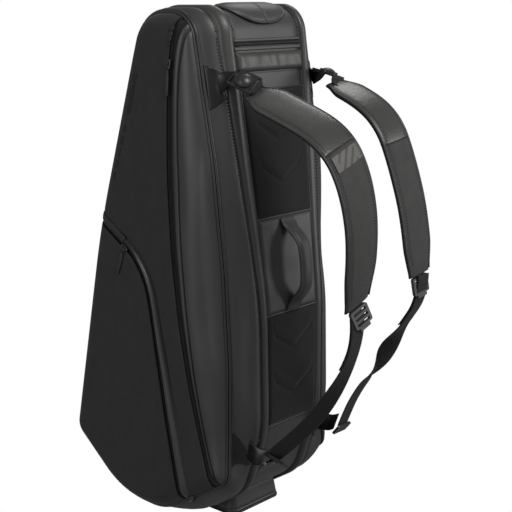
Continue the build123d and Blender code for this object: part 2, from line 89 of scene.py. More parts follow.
STEP = 5.0                       # spacing of points along the outlines
WAIST = 11.0                     # the body is drawn in this much beside the lower back
SIGN = {"left": -1, "right": 1}
OUTWARD = {"left": (-1, 0, 0), "right": (1, 0, 0)}

# Body surface: the raised rib, the sunken panel and groove, the puffed gusset.
RIB_RISE = 4.4
PANEL_SINK = -1.0
GROOVE_SINK = -2.0
GUSSET_PUFF = 3.0
SHELL_THICK = 4

# Side faces. The face's and the lining's levels are from the middle plane, the tape's and the
# teeth's from the face. Then the zip's slot, the grids' rows, the sliders, the stripe and the seam.
FACE_BASE = SEAM_X + 0.6
FACE_LEVEL = 137.0
FACE_THICK = 3
SPINE_ROUND = 44.0               # rounding of the strip behind the main zip
LINING_LEVEL = 129.0
POCKET_THICK = 2.4
SLOT_HALF = 3.2
POCKET_PROUD = 1.5
TAPE_LEVEL = -4.0
TEETH_LEVEL = -3.2
ROWS = 260
SLIDER_PLACES = {"main": (-45.3, 699.0), "pocket": (58.6, 413.4)}
STRIPE_LINE = [(26, 684), (40, 640), (62, 575), (88, 505)]
STRIPE_LENGTH = 62.0
STRIPE_HALF = 4.0
DASHES = 5
DASH = 12.0
DASH_GAP = 20.0
BAND_SEAM_Z = (100, 170, 350, 530, 690)
BAND_SEAM = (6.0, 9.0, 15.0, 18.5, 15.0)

# The lid's hinge on the front edge, and the line that the pocket's mouth folds about.
AXIS_POINT = np.array([130.5, 442.0])
AXIS_INWARD = np.array([-0.9675, -0.2529])
FOLD_TOP = np.array([112.0, 441.0])
FOLD_FOOT = np.array([-43.0, 36.0])
FOLD_CLEAR = 16                  # the mouth's mesh starts this far before its fold
HINGE_CLEAR = 26                 # and this far behind the hinge

# Stow band: the height of its zip, and half the length of its coil and stitches.
STOW_ZIP_Z = 727
STOW_HALF = 72

# Handles: the upright one on the back, and the broad one over the top corner.
GRAB_TOP = np.array([0, -155.0, 470.0])
GRAB_FOOT = np.array([0, -169.2, 330.0])
GRAB_RISE = [(0, -2.0), (0.08, 1.0), (0.22, 24.0), (0.36, 29.0),
             (0.64, 29.0), (0.78, 24.0), (0.92, 1.0), (1, -2.0)]
HAUL_CORNER = np.array([-71.8, 739.0])
HAUL_BEND_R = 40.0
HAUL_MIDDLE = 78.0
HAUL_REACH = 39.0
HAUL_HALF = 63.0

# Harness: the run across each pad as (x, y, z), the x of its first edge, its route as (y, z), and
# where its coated part ends with the slant there. Then the webbing's routes as (y, z).
PAD_RULE = {"left": (58, -5, 24), "right": (58, -3, 10)}
PAD_FIRST_X = {"left": -118.0, "right": 54.0}
PAD_ROUTE = {
    "left": [(-159, 655), (-222, 636), (-312, 602), (-352, 540), (-367, 450), (-356, 374)],
    "right": [(-172, 666), (-226, 650), (-278, 614), (-305, 556), (-333, 468), (-341, 392)],
}
PAD_SPLIT = {"left": (-310, 596, 1.4), "right": (-290, 586, 1.2)}
PAD_THICK = 12.0
PAD_POINTS = 120
WEB_ROUTE = {
    "left": [(-354, 379), (-359, 346), (-338, 286), (-290, 212), (-232, 152), (-197, 121)],
    "right": [(-342, 396), (-342, 360), (-310, 312), (-270, 258), (-226, 196), (-197, 126)],
}
WEB_X = 88.0
WEB_FACING = np.array([-0.72, -0.65, 0.22])
WEB_WIDTH = 25
WEB_THICK = 1.8
TAIL_WIDTH = 24
BUCKLE_CENTRE = {"left": (-94, -153, 677), "right": (94, -153, 678)}
BUCKLE_NORMAL = {"left": (-0.54, -0.44, 0.72), "right": (0.2, -0.22, 0.95)}
BUCKLE_HALF = 17                 # from the buckle's middle to the bars that its webs go round
TRIGLIDE_PLACE = {"left": (-88.0, -193, 113), "right": (88.0, -193, 120)}

# Zip sliders and pulls, as (y, z) directions and levels from the middle plane.
SLIDER_DIRECTIONS = {"main": (0.0877, -0.9962), "pocket": (-0.8586, -0.5126)}
PULL_DIRECTIONS = {"main": (0.0877, -0.9962), "pocket": (0.3610, -0.9326)}
SLIDER_BASES = {"main": 137.5, "pocket": 139.0}
PULL_START = 8.5
PULL_LENGTH = 38.0

FOOT_HALF = 57.0
FOOT_HALF_LENGTH = 92.0
FOOT_CORNER = 14.0
SOLE_RIBS = 15
RIB_REACH = 46                   # half length of a sole rib
RIB_SPREAD = 76                  # from the middle to the last sole rib

# Camera and light. The aim is in the outlines' frame, angles are in degrees, the lens is in
# millimetres, and other places and sizes are in metres.
CAMERA_AIM = (0, -90, 400)
CAMERA_SIDE = -48
CAMERA_RISE = 12.8
CAMERA_FAR = 1.8135
CAMERA_LENS = 81.98
WORLD_LIGHT = 0.22
SOFTBOXES = (                    # name, place, aim, width, height, power
    ("key", (-0.4, -1.6, 2.2), (0, 0, 0.5), 1.0, 1.0, 34),
    ("left_strip", (-2.2, 0.2, 0.9), (0, 0, 0.4), 0.9, 1.8, 14),
    ("top_rim", (1.3, 0.55, 2.2), (0, -0.2, 0.6), 0.7, 0.7, 6),
    ("back_strip", (1.4, -1.9, 0.9), (0, -0.1, 0.4), 0.7, 1.6, 19),
)


# ---- plane curves --------------------------------------------------------------------------

def unit(v):
    v = np.asarray(v, float)
    return v / np.linalg.norm(v, axis=-1, keepdims=True)


def corner_arc(before, corner, after, radius, count):
    """Points of the arc that rounds a corner."""
    a = unit(np.subtract(before, corner))
    b = unit(np.subtract(after, corner))
    half = math.acos(np.clip(a @ b, -1, 1)) / 2
    reach = radius / math.tan(half)
    start = corner + a * reach
    centre = corner + unit(a + b) * (radius / math.sin(half))
    sweep = math.pi - 2 * half
    side = math.copysign(1, a[0] * b[1] - a[1] * b[0])
    angles = np.linspace(0, sweep, count) * -side
    spoke = start - centre
    turned = np.stack([
        spoke[0] * np.cos(angles) - spoke[1] * np.sin(angles),
        spoke[0] * np.sin(angles) + spoke[1] * np.cos(angles),
    ], 1)
    return centre + turned


def rounded_loop(corners, radii, counts):
    """A closed outline: an arc at each corner, straight runs between, with fixed counts."""
    corners = [np.array(c, float) for c in corners]
    arcs = []
    for i, corner in enumerate(corners):
        arcs.append(corner_arc(corners[i - 1], corner, corners[(i + 1) % len(corners)],
                               radii[i], counts[i][0]))
    points = []
    for i, arc in enumerate(arcs):
        following = arcs[(i + 1) % len(arcs)][0]
        fractions = np.linspace(0, 1, counts[i][1] + 2)[1:-1, None]
        points += [arc, arc[-1] * (1 - fractions) + following * fractions]
    return np.concatenate(points)


def loop_counts(corners, radii):
    counts = []
    for i, corner in enumerate(corners):
        arc = corner_arc(corners[i - 1], np.array(corner, float),
                         corners[(i + 1) % len(corners)], radii[i], 5)
        following = corners[(i + 1) % len(corners)]
        length = np.linalg.norm(np.diff(arc, axis=0), axis=1).sum()
        run = math.dist(arc[-1], following) * 0.75
        counts.append((max(6, round(length / STEP * 1.6)), max(4, round(run / STEP))))
    return counts


def loop_normals(loop):
    """Outward normals of a clockwise loop."""
    along = np.roll(loop, -1, 0) - np.roll(loop, 1, 0)
    return unit(np.stack([-along[:, 1], along[:, 0]], 1))


def lengths(points):
    return np.concatenate([[0], np.cumsum(np.linalg.norm(np.diff(points, axis=0), axis=1))])


def resampled(points, count):
    """A polyline with evenly spaced points."""
    points = np.asarray(points, float)
    along = lengths(points)
    places = np.linspace(0, along[-1], count) if np.isscalar(count) else np.asarray(count) * along[-1]
    return np.stack([np.interp(places, along, points[:, k]) for k in range(points.shape[1])], 1)


def soft_curve(controls, count):
    """A smooth curve through the ends of a control polygon, rounded at its corners."""
    controls = np.asarray(controls, float)
    n = len(controls)
    knots = np.concatenate([[0, 0], np.arange(n - 1), [n - 2, n - 2]]).astype(float)
    places = np.linspace(0, n - 2 - 1e-9, max(count * 4, 100))
    out = []
    for t in places:
        span = min(int(t), n - 3)
        k = span + 2
        d = [controls[k - 2 + j].copy() for j in range(3)]
        for r in range(1, 3):
            for j in range(2, r - 1, -1):
                low = knots[j + k - 2]
                high = knots[j + 1 + k - r]
                a = 0 if high == low else (t - low) / (high - low)
                d[j] = (1 - a) * d[j - 1] + a * d[j]
        out.append(d[2])
    return resampled(np.array(out), count)


def distance(points, line, closed=False):
    """Distance from each point to a polyline."""
    if closed:
        line = np.concatenate([line, line[:1]])
    best = np.full(len(points), 1e9)
    for a, b in zip(line, line[1:]):
        run = b - a
        t = np.clip(((points - a) @ run) / max(run @ run, 1e-12), 0, 1)
        best = np.minimum(best, np.linalg.norm(points - (a + t[:, None] * run), axis=1))
    return best


def inside(points, loop):
    """Whether each point is inside a closed loop."""
    found = np.zeros(len(points), bool)
    y, z = points[:, 0], points[:, 1]
    for a, b in zip(loop, np.roll(loop, -1, 0)):
        if a[1] == b[1]:
            continue
        crosses = (a[1] > z) != (b[1] > z)
        at = a[0] + (z - a[1]) / (b[1] - a[1]) * (b[0] - a[0])
        found ^= crosses & (y < at)
    return found


def shifted(line, amount):
    """An open line moved to its right-hand side."""
    along = np.gradient(line, axis=0)
    return line + unit(np.stack([along[:, 1], -along[:, 0]], 1)) * amount


def between(loop, index):
    """Points of a closed loop at positions that need not be whole."""
    low = np.floor(index).astype(int) % len(loop)
    part = (index - np.floor(index))[..., None]
    return loop[low] * (1 - part) + loop[(low + 1) % len(loop)] * part


def smooth_step(t):
    t = np.clip(t, 0, 1)
    return t * t * (3 - 2 * t)


counts = loop_counts(SEAM_CORNERS, SEAM_RADII)
seam_loop = rounded_loop(SEAM_CORNERS, SEAM_RADII, counts)
panel_loop = rounded_loop(PANEL_CORNERS, PANEL_RADII, counts)


def zip_line():
    """The main zip from below the bag to above it."""
    foot, top = np.array(ZIP_FOOT, float), np.array(ZIP_TOP, float)
    chord = top - foot
    size = np.linalg.norm(chord)
    normal = np.array([chord[1], -chord[0]]) / size
    t = np.linspace(-0.16, 1, 140)[:, None]
    arc = foot + chord * t + normal * ZIP_BULGE * 4 * t * (1 - t)
    lead = unit(arc[-1] - arc[-2])
    head = np.array(ZIP_HEAD, float)
    bend = top + lead * 52
    beyond = head + unit(head - bend) * 30
    return np.concatenate([arc[:-1], soft_curve([top, bend, head, beyond], 40)])


def pocket_line():
    """The pocket's zip from below the bag to beyond its front edge."""
    arc = corner_arc(POCKET_FOOT, np.array(POCKET_BEND, float), POCKET_EDGE, POCKET_BEND_R, 24)
    start = np.linspace(POCKET_FOOT, arc[0], 60)[:-1]
    end = np.linspace(arc[-1], POCKET_EDGE, 24)[1:]
    return np.concatenate([start, arc, end])


main_line = zip_line()
pocket_track = pocket_line()


# ---- mesh helpers ----------------------------------------------------------------------------


def drawn_in(points):
    """Points with the seam beside the lower back drawn inwards and forwards."""
    points = np.array(points, float)
    x, y, z = points.T
    beside = smooth_step((np.abs(x) - 60) / 56)
    behind = smooth_step((-50 - y) / 70) * (1 - smooth_step((-y - 152) / 20))
    low = smooth_step((z - 40) / 110) * (1 - smooth_step((z - 320) / 240))
    shift = WAIST * beside * behind * low
    points[:, 0] -= np.sign(x) * shift
    points[:, 1] += shift * 0.9
    return points


def placed(point):
    """A point of the outlines' own frame, in metres above the floor."""
    return tuple(float(c) * MM for c in np.asarray(point, float) + (0, 0, FLOOR_DROP))


def mesh_object(name, vertices, faces, materials, face_materials=None, smooth=True):
    mesh = bpy.data.meshes.new(name)
    raised = drawn_in(vertices) + (0, 0, FLOOR_DROP)
    mesh.from_pydata((raised * MM).tolist(), [], faces)
    mesh.validate()
    for material in materials:
        mesh.materials.append(material)
    if face_materials is not None:
        mesh.polygons.foreach_set("material_index", face_materials)
    mesh.polygons.foreach_set("use_smooth", [smooth] * len(mesh.polygons))
    mesh.update()
    piece = bpy.data.objects.new(name, mesh)
    bpy.context.scene.collection.objects.link(piece)
    return piece


def grid_faces(rows, columns, closed_rows=False, closed_columns=False, flip=False):
    faces = []
    for i in range(rows if closed_rows else rows - 1):
        for j in range(columns if closed_columns else columns - 1):
            a, b = i * columns + j, i * columns + (j + 1) % columns
            c, d = ((i + 1) % rows) * columns + (j + 1) % columns, ((i + 1) % rows) * columns + j
            faces.append((a, d, c, b) if flip else (a, b, c, d))
    return faces


def grid_object(name, points, materials, closed_rows=False, closed_columns=False,
                outward=None, thickness=0.0, face_materials=None, lining=0):
    """A quad mesh over a grid of points, facing outward, and solid where it has a thickness.

    The lining says how many places further down the list the inside's materials are.
    """
    rows, columns = points.shape[:2]
    flat = points.reshape(-1, 3)
    flip = False
    if outward is not None:
        a = points[1:, :-1] - points[:-1, :-1]
        b = points[:-1, 1:] - points[:-1, :-1]
        normal = np.cross(b, a).reshape(-1, 3)
        guide = np.broadcast_to(outward, points.shape)[:-1, :-1].reshape(-1, 3)
        flip = (normal * guide).sum() < 0
    faces = grid_faces(rows, columns, closed_rows, closed_columns, flip)
    piece = mesh_object(name, flat, faces, materials, face_materials)
    if thickness:
        solid = piece.modifiers.new("thickness", "SOLIDIFY")
        solid.thickness = thickness
        solid.offset = -1
        solid.material_offset = lining
        solid.use_quality_normals = True
    return piece


def transported(path, up):
    """Tangents and two cross axes along a path, turning as little as possible."""
    tangents = unit(np.gradient(path, axis=0))
    axis = np.asarray(up, float) - tangents[0] * (tangents[0] @ up)
    axes = [axis / np.linalg.norm(axis)]
    for tangent in tangents[1:]:
        axis = axes[-1] - tangent * (axes[-1] @ tangent)
        axes.append(axis / np.linalg.norm(axis))
    axes = np.array(axes)
    return tangents, axes, np.cross(tangents, axes)


def closed_sweep(name, rings, materials, face_materials=None, loop=False):
    """A closed tube through rings of points, capped at both ends unless it is a loop."""
    rings = np.asarray(rings)
    rows, columns = rings.shape[:2]
    faces = grid_faces(rows, columns, closed_rows=loop, closed_columns=True)
    vertices = rings.reshape(-1, 3)
    if not loop:
        faces = faces + [tuple(range(columns)), tuple(rows * columns - 1 - k for k in range(columns))]
        if face_materials is not None:
            face_materials = list(face_materials) + [0, 0]
    piece = mesh_object(name, vertices, faces, materials, face_materials)
    fix_normals(piece)
    for face in piece.data.polygons:
        face.use_smooth = len(face.vertices) < 5
    return piece


def fix_normals(piece):
    work = bmesh.new()
    work.from_mesh(piece.data)
    bmesh.ops.recalc_face_normals(work, faces=work.faces)
    work.to_mesh(piece.data)
    work.free()


def tube(name, path, radius, material, sides=10, closed=False, up=(1, 0, 0), flatten=1.0):
    """A round bead along a path."""
    path = np.asarray(path, float)
    if closed:
        ahead = np.roll(path, -1, 0) - np.roll(path, 1, 0)
        tangents = unit(ahead)
        first = np.broadcast_to(np.asarray(up, float), path.shape)
        first = unit(first - tangents * (first * tangents).sum(1, keepdims=True))
        second = np.cross(tangents, first)
    else:
        tangents, first, second = transported(path, up)
    angles = np.linspace(0, 2 * math.pi, sides, endpoint=False)
    radius = np.broadcast_to(radius, len(path))[:, None, None]
    ring = (first[:, None] * np.cos(angles)[None, :, None] * flatten
            + second[:, None] * np.sin(angles)[None, :, None])
    return closed_sweep(name, path[:, None] + ring * radius, [material], loop=closed)


def mirrored(points, side):
    """Points given for the left side, moved to the side asked for."""
    points = np.array(points, float)
    if side == "right":
        points[..., 0] *= -1
    return points


# ---- materials ---------------------------------------------------------------------------------

def material(name, colour, roughness, sheen=0.0, coat=0.0, specular=0.5):
    made = bpy.data.materials.new(name)
    made.use_nodes = True
    shader = made.node_tree.nodes["Principled BSDF"]
    shader.inputs["Base Color"].default_value = (*colour, 1)
    shader.inputs["Roughness"].default_value = roughness
    shader.inputs["Specular IOR Level"].default_value = specular
    shader.inputs["Sheen Weight"].default_value = sheen
    shader.inputs["Sheen Roughness"].default_value = 0.4
    shader.inputs["Coat Weight"].default_value = coat
    shader.inputs["Coat Roughness"].default_value = 0.25
    return made


def add_node(made, kind, **settings):
    node = made.node_tree.nodes.new(kind)
    for key, value in settings.items():
        if key in node.inputs:
            node.inputs[key].default_value = value
        else:
            setattr(node, key, value)
    return node


def join(made, out, into):
    made.node_tree.links.new(out, into)


def shader_of(made):
    return made.node_tree.nodes["Principled BSDF"]


def bump(made, height, strength, distance_m, below=None):
    """A bump from a height output, on top of an earlier bump."""
    node = add_node(made, "ShaderNodeBump", Strength=strength, Distance=distance_m)
    join(made, height, node.inputs["Height"])
    if below is not None:
        join(made, below.outputs["Normal"], node.inputs["Normal"])
    join(made, node.outputs["Normal"], shader_of(made).inputs["Normal"])
    return node


def varied(made, source, low, high, dark, light):
    """Base colour between two tones, driven by a texture's value."""
    spread = add_node(made, "ShaderNodeMapRange")
    spread.inputs["From Min"].default_value = low
    spread.inputs["From Max"].default_value = high
    join(made, source, spread.inputs["Value"])
    mix = add_node(made, "ShaderNodeMix", data_type="RGBA")
    mix.inputs[6].default_value = (*dark, 1)
    mix.inputs[7].default_value = (*light, 1)
    join(made, spread.outputs["Result"], mix.inputs[0])
    join(made, mix.outputs[2], shader_of(made).inputs["Base Color"])


def coated(name, colour, roughness, grain=0.25, coat=0.0):
    """Coated fabric: a fine leather-like grain and a slightly uneven tone."""
    made = material(name, colour, roughness, coat=coat)
    place = add_node(made, "ShaderNodeTexCoord")
    cells = add_node(made, "ShaderNodeTexVoronoi", Scale=900.0, feature="F1")
    cloud = add_node(made, "ShaderNodeTexNoise", Scale=9.0, Detail=3.0)
    crease = add_node(made, "ShaderNodeTexNoise", Scale=26.0, Detail=5.0)
    for texture in (cells, cloud, crease):
        join(made, place.outputs["Object"], texture.inputs["Vector"])
    soft = bump(made, crease.outputs["Fac"], 0.18, 0.004)
    bump(made, cells.outputs["Distance"], grain, 0.0004, soft)
    dark = [c * 0.86 for c in colour]
    light = [c * 1.12 for c in colour]
    varied(made, cloud.outputs["Fac"], 0.3, 0.7, dark, light)
    return made


def woven(name, colour, roughness, pitch, strength=0.5, sheen=0.1):
    """Plain weave: crossed fine waves, with faint slubs."""
    made = material(name, colour, roughness, sheen=sheen, specular=0.3)
    place = add_node(made, "ShaderNodeTexCoord")
    waves = []
    for axis in ("Y", "Z"):
        wave = add_node(made, "ShaderNodeTexWave", Scale=pitch, bands_direction=axis)
        wave.inputs["Distortion"].default_value = 0.6
        join(made, place.outputs["Object"], wave.inputs["Vector"])
        waves.append(wave)
    cross = add_node(made, "ShaderNodeMath", operation="MULTIPLY")
    join(made, waves[0].outputs["Fac"], cross.inputs[0])
    join(made, waves[1].outputs["Fac"], cross.inputs[1])
    slub = add_node(made, "ShaderNodeTexNoise", Scale=60.0, Detail=4.0)
    stretch = add_node(made, "ShaderNodeMapping")
    stretch.inputs["Scale"].default_value = (1.0, 1.4, 0.8)
    join(made, place.outputs["Object"], stretch.inputs["Vector"])
    join(made, stretch.outputs["Vector"], slub.inputs["Vector"])
    bump(made, cross.outputs["Value"], strength, 0.0003)
    dark = [c * 0.92 for c in colour]
    light = [c * 1.08 for c in colour]
    varied(made, slub.outputs["Fac"], 0.35, 0.65, dark, light)
    return made


def meshwork(name, colour):
    """Spacer mesh: small open cells."""
    made = material(name, colour, 0.85, sheen=0.15, specular=0.25)
    place = add_node(made, "ShaderNodeTexCoord")
    cells = add_node(made, "ShaderNodeTexVoronoi", Scale=640.0, feature="F1")
    join(made, place.outputs["Object"], cells.inputs["Vector"])
    bump(made, cells.outputs["Distance"], 0.4, 0.0006)
    dark = [c * 0.72 for c in colour]
    light = [c * 1.12 for c in colour]
    varied(made, cells.outputs["Distance"], 0.25, 0.7, light, dark)
    return made


def moulded(name, colour, roughness, coat=0.0):
    made = material(name, colour, roughness, coat=coat)
    place = add_node(made, "ShaderNodeTexCoord")
    fine = add_node(made, "ShaderNodeTexNoise", Scale=1800.0, Detail=2.0)
    join(made, place.outputs["Object"], fine.inputs["Vector"])
    bump(made, fine.outputs["Fac"], 0.08, 0.0002)
    return made


COATED = coated("coated_fabric", (0.038, 0.0375, 0.037), 0.44)
COATED_BRIGHT = coated("strap_coated", (0.048, 0.047, 0.045), 0.29)
RIB = coated("rib_fabric", (0.042, 0.041, 0.039), 0.40)
BEAD = coated("piping", (0.024, 0.0235, 0.023), 0.42, grain=0.12)
TEXTILE = woven("face_textile", (0.0255, 0.0230, 0.0236), 0.78, 420.0)
STRAP_TEXTILE = woven("strap_textile", (0.040, 0.039, 0.038), 0.7, 380.0)
LINING = woven("lining", (0.03, 0.03, 0.032), 0.8, 300.0)
MESH = meshwork("mesh", (0.014, 0.014, 0.0145))
TAPE = woven("zip_tape", (0.008, 0.008, 0.008), 0.8, 500.0)
WEBBING = woven("webbing", (0.012, 0.012, 0.012), 0.7, 260.0, strength=0.9)
PRINT = woven("tonal_print", (0.012, 0.011, 0.0115), 0.6, 420.0)
LABEL = coated("strap_label", (0.085, 0.08, 0.072), 0.45)
LABEL_MARK = coated("strap_label_mark", (0.03, 0.03, 0.029), 0.5)
PATCH = coated("anchor_patch", (0.006, 0.006, 0.0062), 0.36, coat=0.08)
COIL = moulded("zip_teeth", (0.006, 0.006, 0.006), 0.35)
SLIDER = moulded("zip_metal", (0.012, 0.012, 0.012), 0.28, coat=0.4)
PULL = moulded("zip_pull", (0.018, 0.018, 0.018), 0.5)
BUCKLE = moulded("buckle_plastic", (0.014, 0.014, 0.014), 0.33, coat=0.2)
BUTTON = moulded("button_plastic", (0.026, 0.026, 0.026), 0.34)
LOCK = moulded("lock_plastic", (0.034, 0.034, 0.034), 0.42)
RUBBER = moulded("sole_rubber", (0.012, 0.012, 0.012), 0.6)
BOARD = moulded("board", (0.05, 0.05, 0.05), 0.6)
THREAD = material("thread", (0.009, 0.009, 0.009), 0.7)


# ---- body shell ----------------------------------------------------------------------------------

def border_half(heights):
    """Inner half width of the raised border at each height."""
    known, halves = zip(*BORDER_HALF)
    return np.interp(heights, known, halves)


def rib_width(heights):
    known, widths = zip(*RIB_WIDTH)
    return np.interp(heights, known, widths)


panel_normals = loop_normals(panel_loop)
seam_normals = loop_normals(seam_loop)
rim_loop = seam_loop - seam_normals * RIM_INSET


def on_body(index, across, lift=0.0):
    """Points of the body's surface at loop positions and x values, lifted off it."""
    index = np.asarray(index, float)
    across = np.asarray(across, float)
    index, across = np.broadcast_arrays(index, across)
    panel = between(panel_loop, index)
    seam = between(seam_loop, index)
    normal = unit(between(panel_normals, index))
    away = np.abs(across)
    turn = np.clip((away - 80) / (SEAM_X - 80), 0, 1)[..., None] ** 1.5
    base = panel * (1 - turn) + seam * turn
    half = border_half(panel[..., 1])
    wide = rib_width(panel[..., 1])
    in_rib = (away - half) / wide
    rib = np.sqrt(np.clip(1 - (2 * in_rib - 1) ** 2, 0, 1)) * RIB_RISE
    past = away - half - wide
    inner = in_rib * wide
    groove = GROOVE_SINK * (np.exp(-((past - 1) / 1.6) ** 2) + np.exp(-((inner + 1) / 1.6) ** 2))
    in_gusset = np.clip(past / (SEAM_X - half - wide), 0, 1)
    puff = GUSSET_PUFF * np.sin(math.pi * in_gusset)
    edge = smooth_step((away - SEAM_X + 6) / 6) * -2.2
    height = np.where(away < half, PANEL_SINK, 0) + rib + groove + puff + edge + lift
    y_z = base + normal * height[..., None]
    return np.concatenate([across[..., None], y_z], -1)


def body_shell():
    centre = [0, 0.3, 0.6, 0.85, 0.95]
    rib = [-0.12, -0.06, 0.0, 0.03, 0.1, 0.2, 0.35, 0.5, 0.65, 0.8, 0.9, 0.97, 1.0]
    gusset = [0.0, 0.02, 0.05, 0.1, 0.2, 0.35, 0.5, 0.65, 0.8, 0.88, 0.94, 1.0]
    half = border_half(panel_loop[:, 1])[:, None]
    wide = rib_width(panel_loop[:, 1])[:, None]
    outer = half + wide + 0.6
    parts = [
        half * 0.86 * np.array(centre),
        half + wide * np.array(rib),
        outer + (SEAM_X - outer) * np.array(gusset),
    ]
    right = np.concatenate(parts, 1)
    across = np.concatenate([-right[:, :0:-1], right], 1)
    points = on_body(np.arange(len(panel_loop))[:, None], across)
    first, last = len(centre) + 2, len(centre) + len(rib) - 1
    kinds = np.zeros(right.shape[1] - 1, int)
    kinds[first:last] = 1
    kinds = np.concatenate([kinds[::-1], kinds])
    indices = np.tile(kinds, len(panel_loop)).tolist()
    guide = np.concatenate([np.zeros((len(panel_loop), 1)), panel_normals], 1)[:, None]
    return grid_object("body_shell", points, [COATED, RIB, LINING, LINING], closed_rows=True,
                       outward=guide, thickness=SHELL_THICK * MM, face_materials=indices, lining=2)


def stitches(name, path, normals, pitch, length, radius, made):
    """A row of stitches along a path: short threads that dip into the cloth at both ends."""
    along = lengths(path)
    centres = np.arange(pitch, along[-1] - pitch, pitch)
    sides = np.linspace(0, 2 * math.pi, 5, endpoint=False)
    vertices, faces = [], []
    for centre in centres:
        for step, (place, size, dip) in enumerate(((-0.5, 0.4, -0.3), (-0.25, 1, 0.25),
                                                   (0.25, 1, 0.25), (0.5, 0.4, -0.3))):
            at = centre + place * length
            point = np.array([np.interp(at, along, path[:, k]) for k in range(3)])
            normal = unit(np.array([np.interp(at, along, normals[:, k]) for k in range(3)]))
            ahead = np.array([np.interp(at + 1, along, path[:, k]) for k in range(3)])
            cross = unit(np.cross(normal, unit(ahead - point)))
            start = len(vertices)
            for angle in sides:
                spoke = normal * (math.cos(angle) * size + dip / radius) + cross * math.sin(angle) * size
                vertices.append(point + spoke * radius)
            if step:
                for k in range(5):
                    a, b = start + k, start + (k + 1) % 5
                    faces.append((a - 5, b - 5, b, a))
    return mesh_object(name, np.array(vertices), faces, [made])


def nearest_index(loop, point):
    """The whole-number loop position nearest a point."""
    return int(np.argmin(np.linalg.norm(loop - np.array(point), axis=1)))


def build_body():
    shell = body_shell()
    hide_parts("top_panel", "bottom_panel", "back_panel", "front_panel",
                "left_gusset", "right_gusset")
    pieces = [shell]
    count = len(panel_loop)
    index = np.arange(count)
    half = border_half(panel_loop[:, 1])
    wide = rib_width(panel_loop[:, 1])
    for side, sign in SIGN.items():
        line = np.concatenate([np.full((count, 1), sign * (SEAM_X - 1.5)), seam_loop + seam_normals * 0.4], 1)
        bead = tube(f"{side}_edge_bead", line, 2.7, BEAD, sides=12, closed=True)
        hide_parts(f"{side}_edge_piping")
        inner = np.concatenate([np.full((count, 1), sign * (SEAM_X + 3.0)), rim_loop + seam_normals * 0.2], 1)
        second = tube(f"{side}_face_bead", inner, 1.9, BEAD, sides=10, closed=True)
        pieces += [bead, second]
        for name, shift in (("outer", wide + 4.2), ("inner", -3.0)):
            path = on_body(index, sign * (half + shift), 0.15)
            path = np.concatenate([path, path[:1]])
            normals = np.concatenate([np.zeros((count, 1)), panel_normals], 1)
            normals = np.concatenate([normals, normals[:1]])
            pieces.append(stitches(f"{side}_{name}_stitches", path, normals, 4.8, 3.3, 0.75, THREAD))
    for piece in pieces:
        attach(piece, "root")


# ---- side faces -------------------------------------------------------------------------------------


def crossing(inner, outer, loop):
    """Where the run from an inside point to an outside point meets the loop."""
    low, high = np.array(inner, float), np.array(outer, float)
    for _ in range(30):
        middle = (low + high) / 2
        if inside(middle[None], loop)[0]:
            low = middle
        else:
            high = middle
    return low


def trimmed(line, loop):
    """The stretch of a line inside a loop, ending on it."""
    keep = np.flatnonzero(inside(line, loop))
    first, last = keep[0], keep[-1]
    start = crossing(line[first], line[first - 1], loop)
    end = crossing(line[last], line[last + 1], loop)
    return np.concatenate([start[None], line[first:last + 1], end[None]])


def rim_stretch(start, end):
    """The rim from one point on it to another, clockwise."""
    i = nearest_index(rim_loop, start)
    j = nearest_index(rim_loop, end)
    count = len(rim_loop)
    span = (j - i) % count
    middle = np.array([rim_loop[(i + k) % count] for k in range(1, span)]).reshape(-1, 2)
    return np.concatenate([np.array(start)[None], middle, np.array(end)[None]])


def dents(points):
    """Slow waves that keep a large cloth face from being perfectly flat."""
    y, z = points[..., 0], points[..., 1]
    wide = 0.7 * np.sin(y / 41 + 1.3) * np.sin(z / 83 + 0.7)
    return wide + 0.35 * np.sin(y / 17 + z / 47) * np.sin(z / 31 + 2.1)


def face_height(points, rounding=FACE_ROUND, crown=2.0):
    """How far out the side face stands at points of its plane."""
    flat = points.reshape(-1, 2)
    depth = distance(flat, rim_loop, closed=True)
    t = np.clip(depth / rounding, 0, 1)
    height = FACE_BASE + (FACE_LEVEL - FACE_BASE) * np.sqrt(1 - (1 - t) ** 2)
    height += crown * smooth_step(depth / 130) + dents(flat) * smooth_step(depth / 40)
    return height.reshape(points.shape[:-1])


def coons(upper, lower, first, last):
    """A grid of plane points between four boundary curves, rows along upper and lower."""
    rows, columns = len(upper), len(first)
    s = np.linspace(0, 1, rows)[:, None, None]
    v = lengths(first)
    v = (v / v[-1] if v[-1] > 0 else np.linspace(0, 1, columns))[None, :, None]
    ruled = (1 - v) * upper[:, None] + v * lower[:, None]
    other = (1 - s) * first[None] + s * last[None]
    corners = ((1 - s) * (1 - v) * upper[0] + (1 - s) * v * lower[0]
               + s * (1 - v) * upper[-1] + s * v * lower[-1])
    return ruled + other - corners


def clustered(count, ends=0.75):
    """Fractions from 0 to 1, closer together at both ends."""
    t = np.linspace(0, 1, count)
    return (1 - ends) * t + ends * (0.5 - 0.5 * np.cos(math.pi * t))


def straight(start, end, fractions):
    fractions = np.asarray(fractions)[:, None]
    return np.array(start) * (1 - fractions) + np.array(end) * fractions


def edge_roll(gap, radius):
    """How far a cloth edge drops as it rolls under, by distance from the edge."""
    t = np.clip(gap / radius, 0, 1)
    return radius * (1 - np.sqrt(1 - (1 - t) ** 2))


def joined(first, second, share, count):
    """Two runs in a row as one curve, the first taking a share of the parameter."""
    a = max(2, round(count * share))
    return np.concatenate([resampled(first, a)[:-1], resampled(second, count - a + 1)])


spine_edge = trimmed(shifted(main_line, -SLOT_HALF), rim_loop)
lid_edge = trimmed(shifted(main_line, SLOT_HALF), rim_loop)
outer_edge = trimmed(shifted(pocket_track, -3.0), rim_loop)
inner_edge = trimmed(shifted(pocket_track, 3.0), rim_loop)


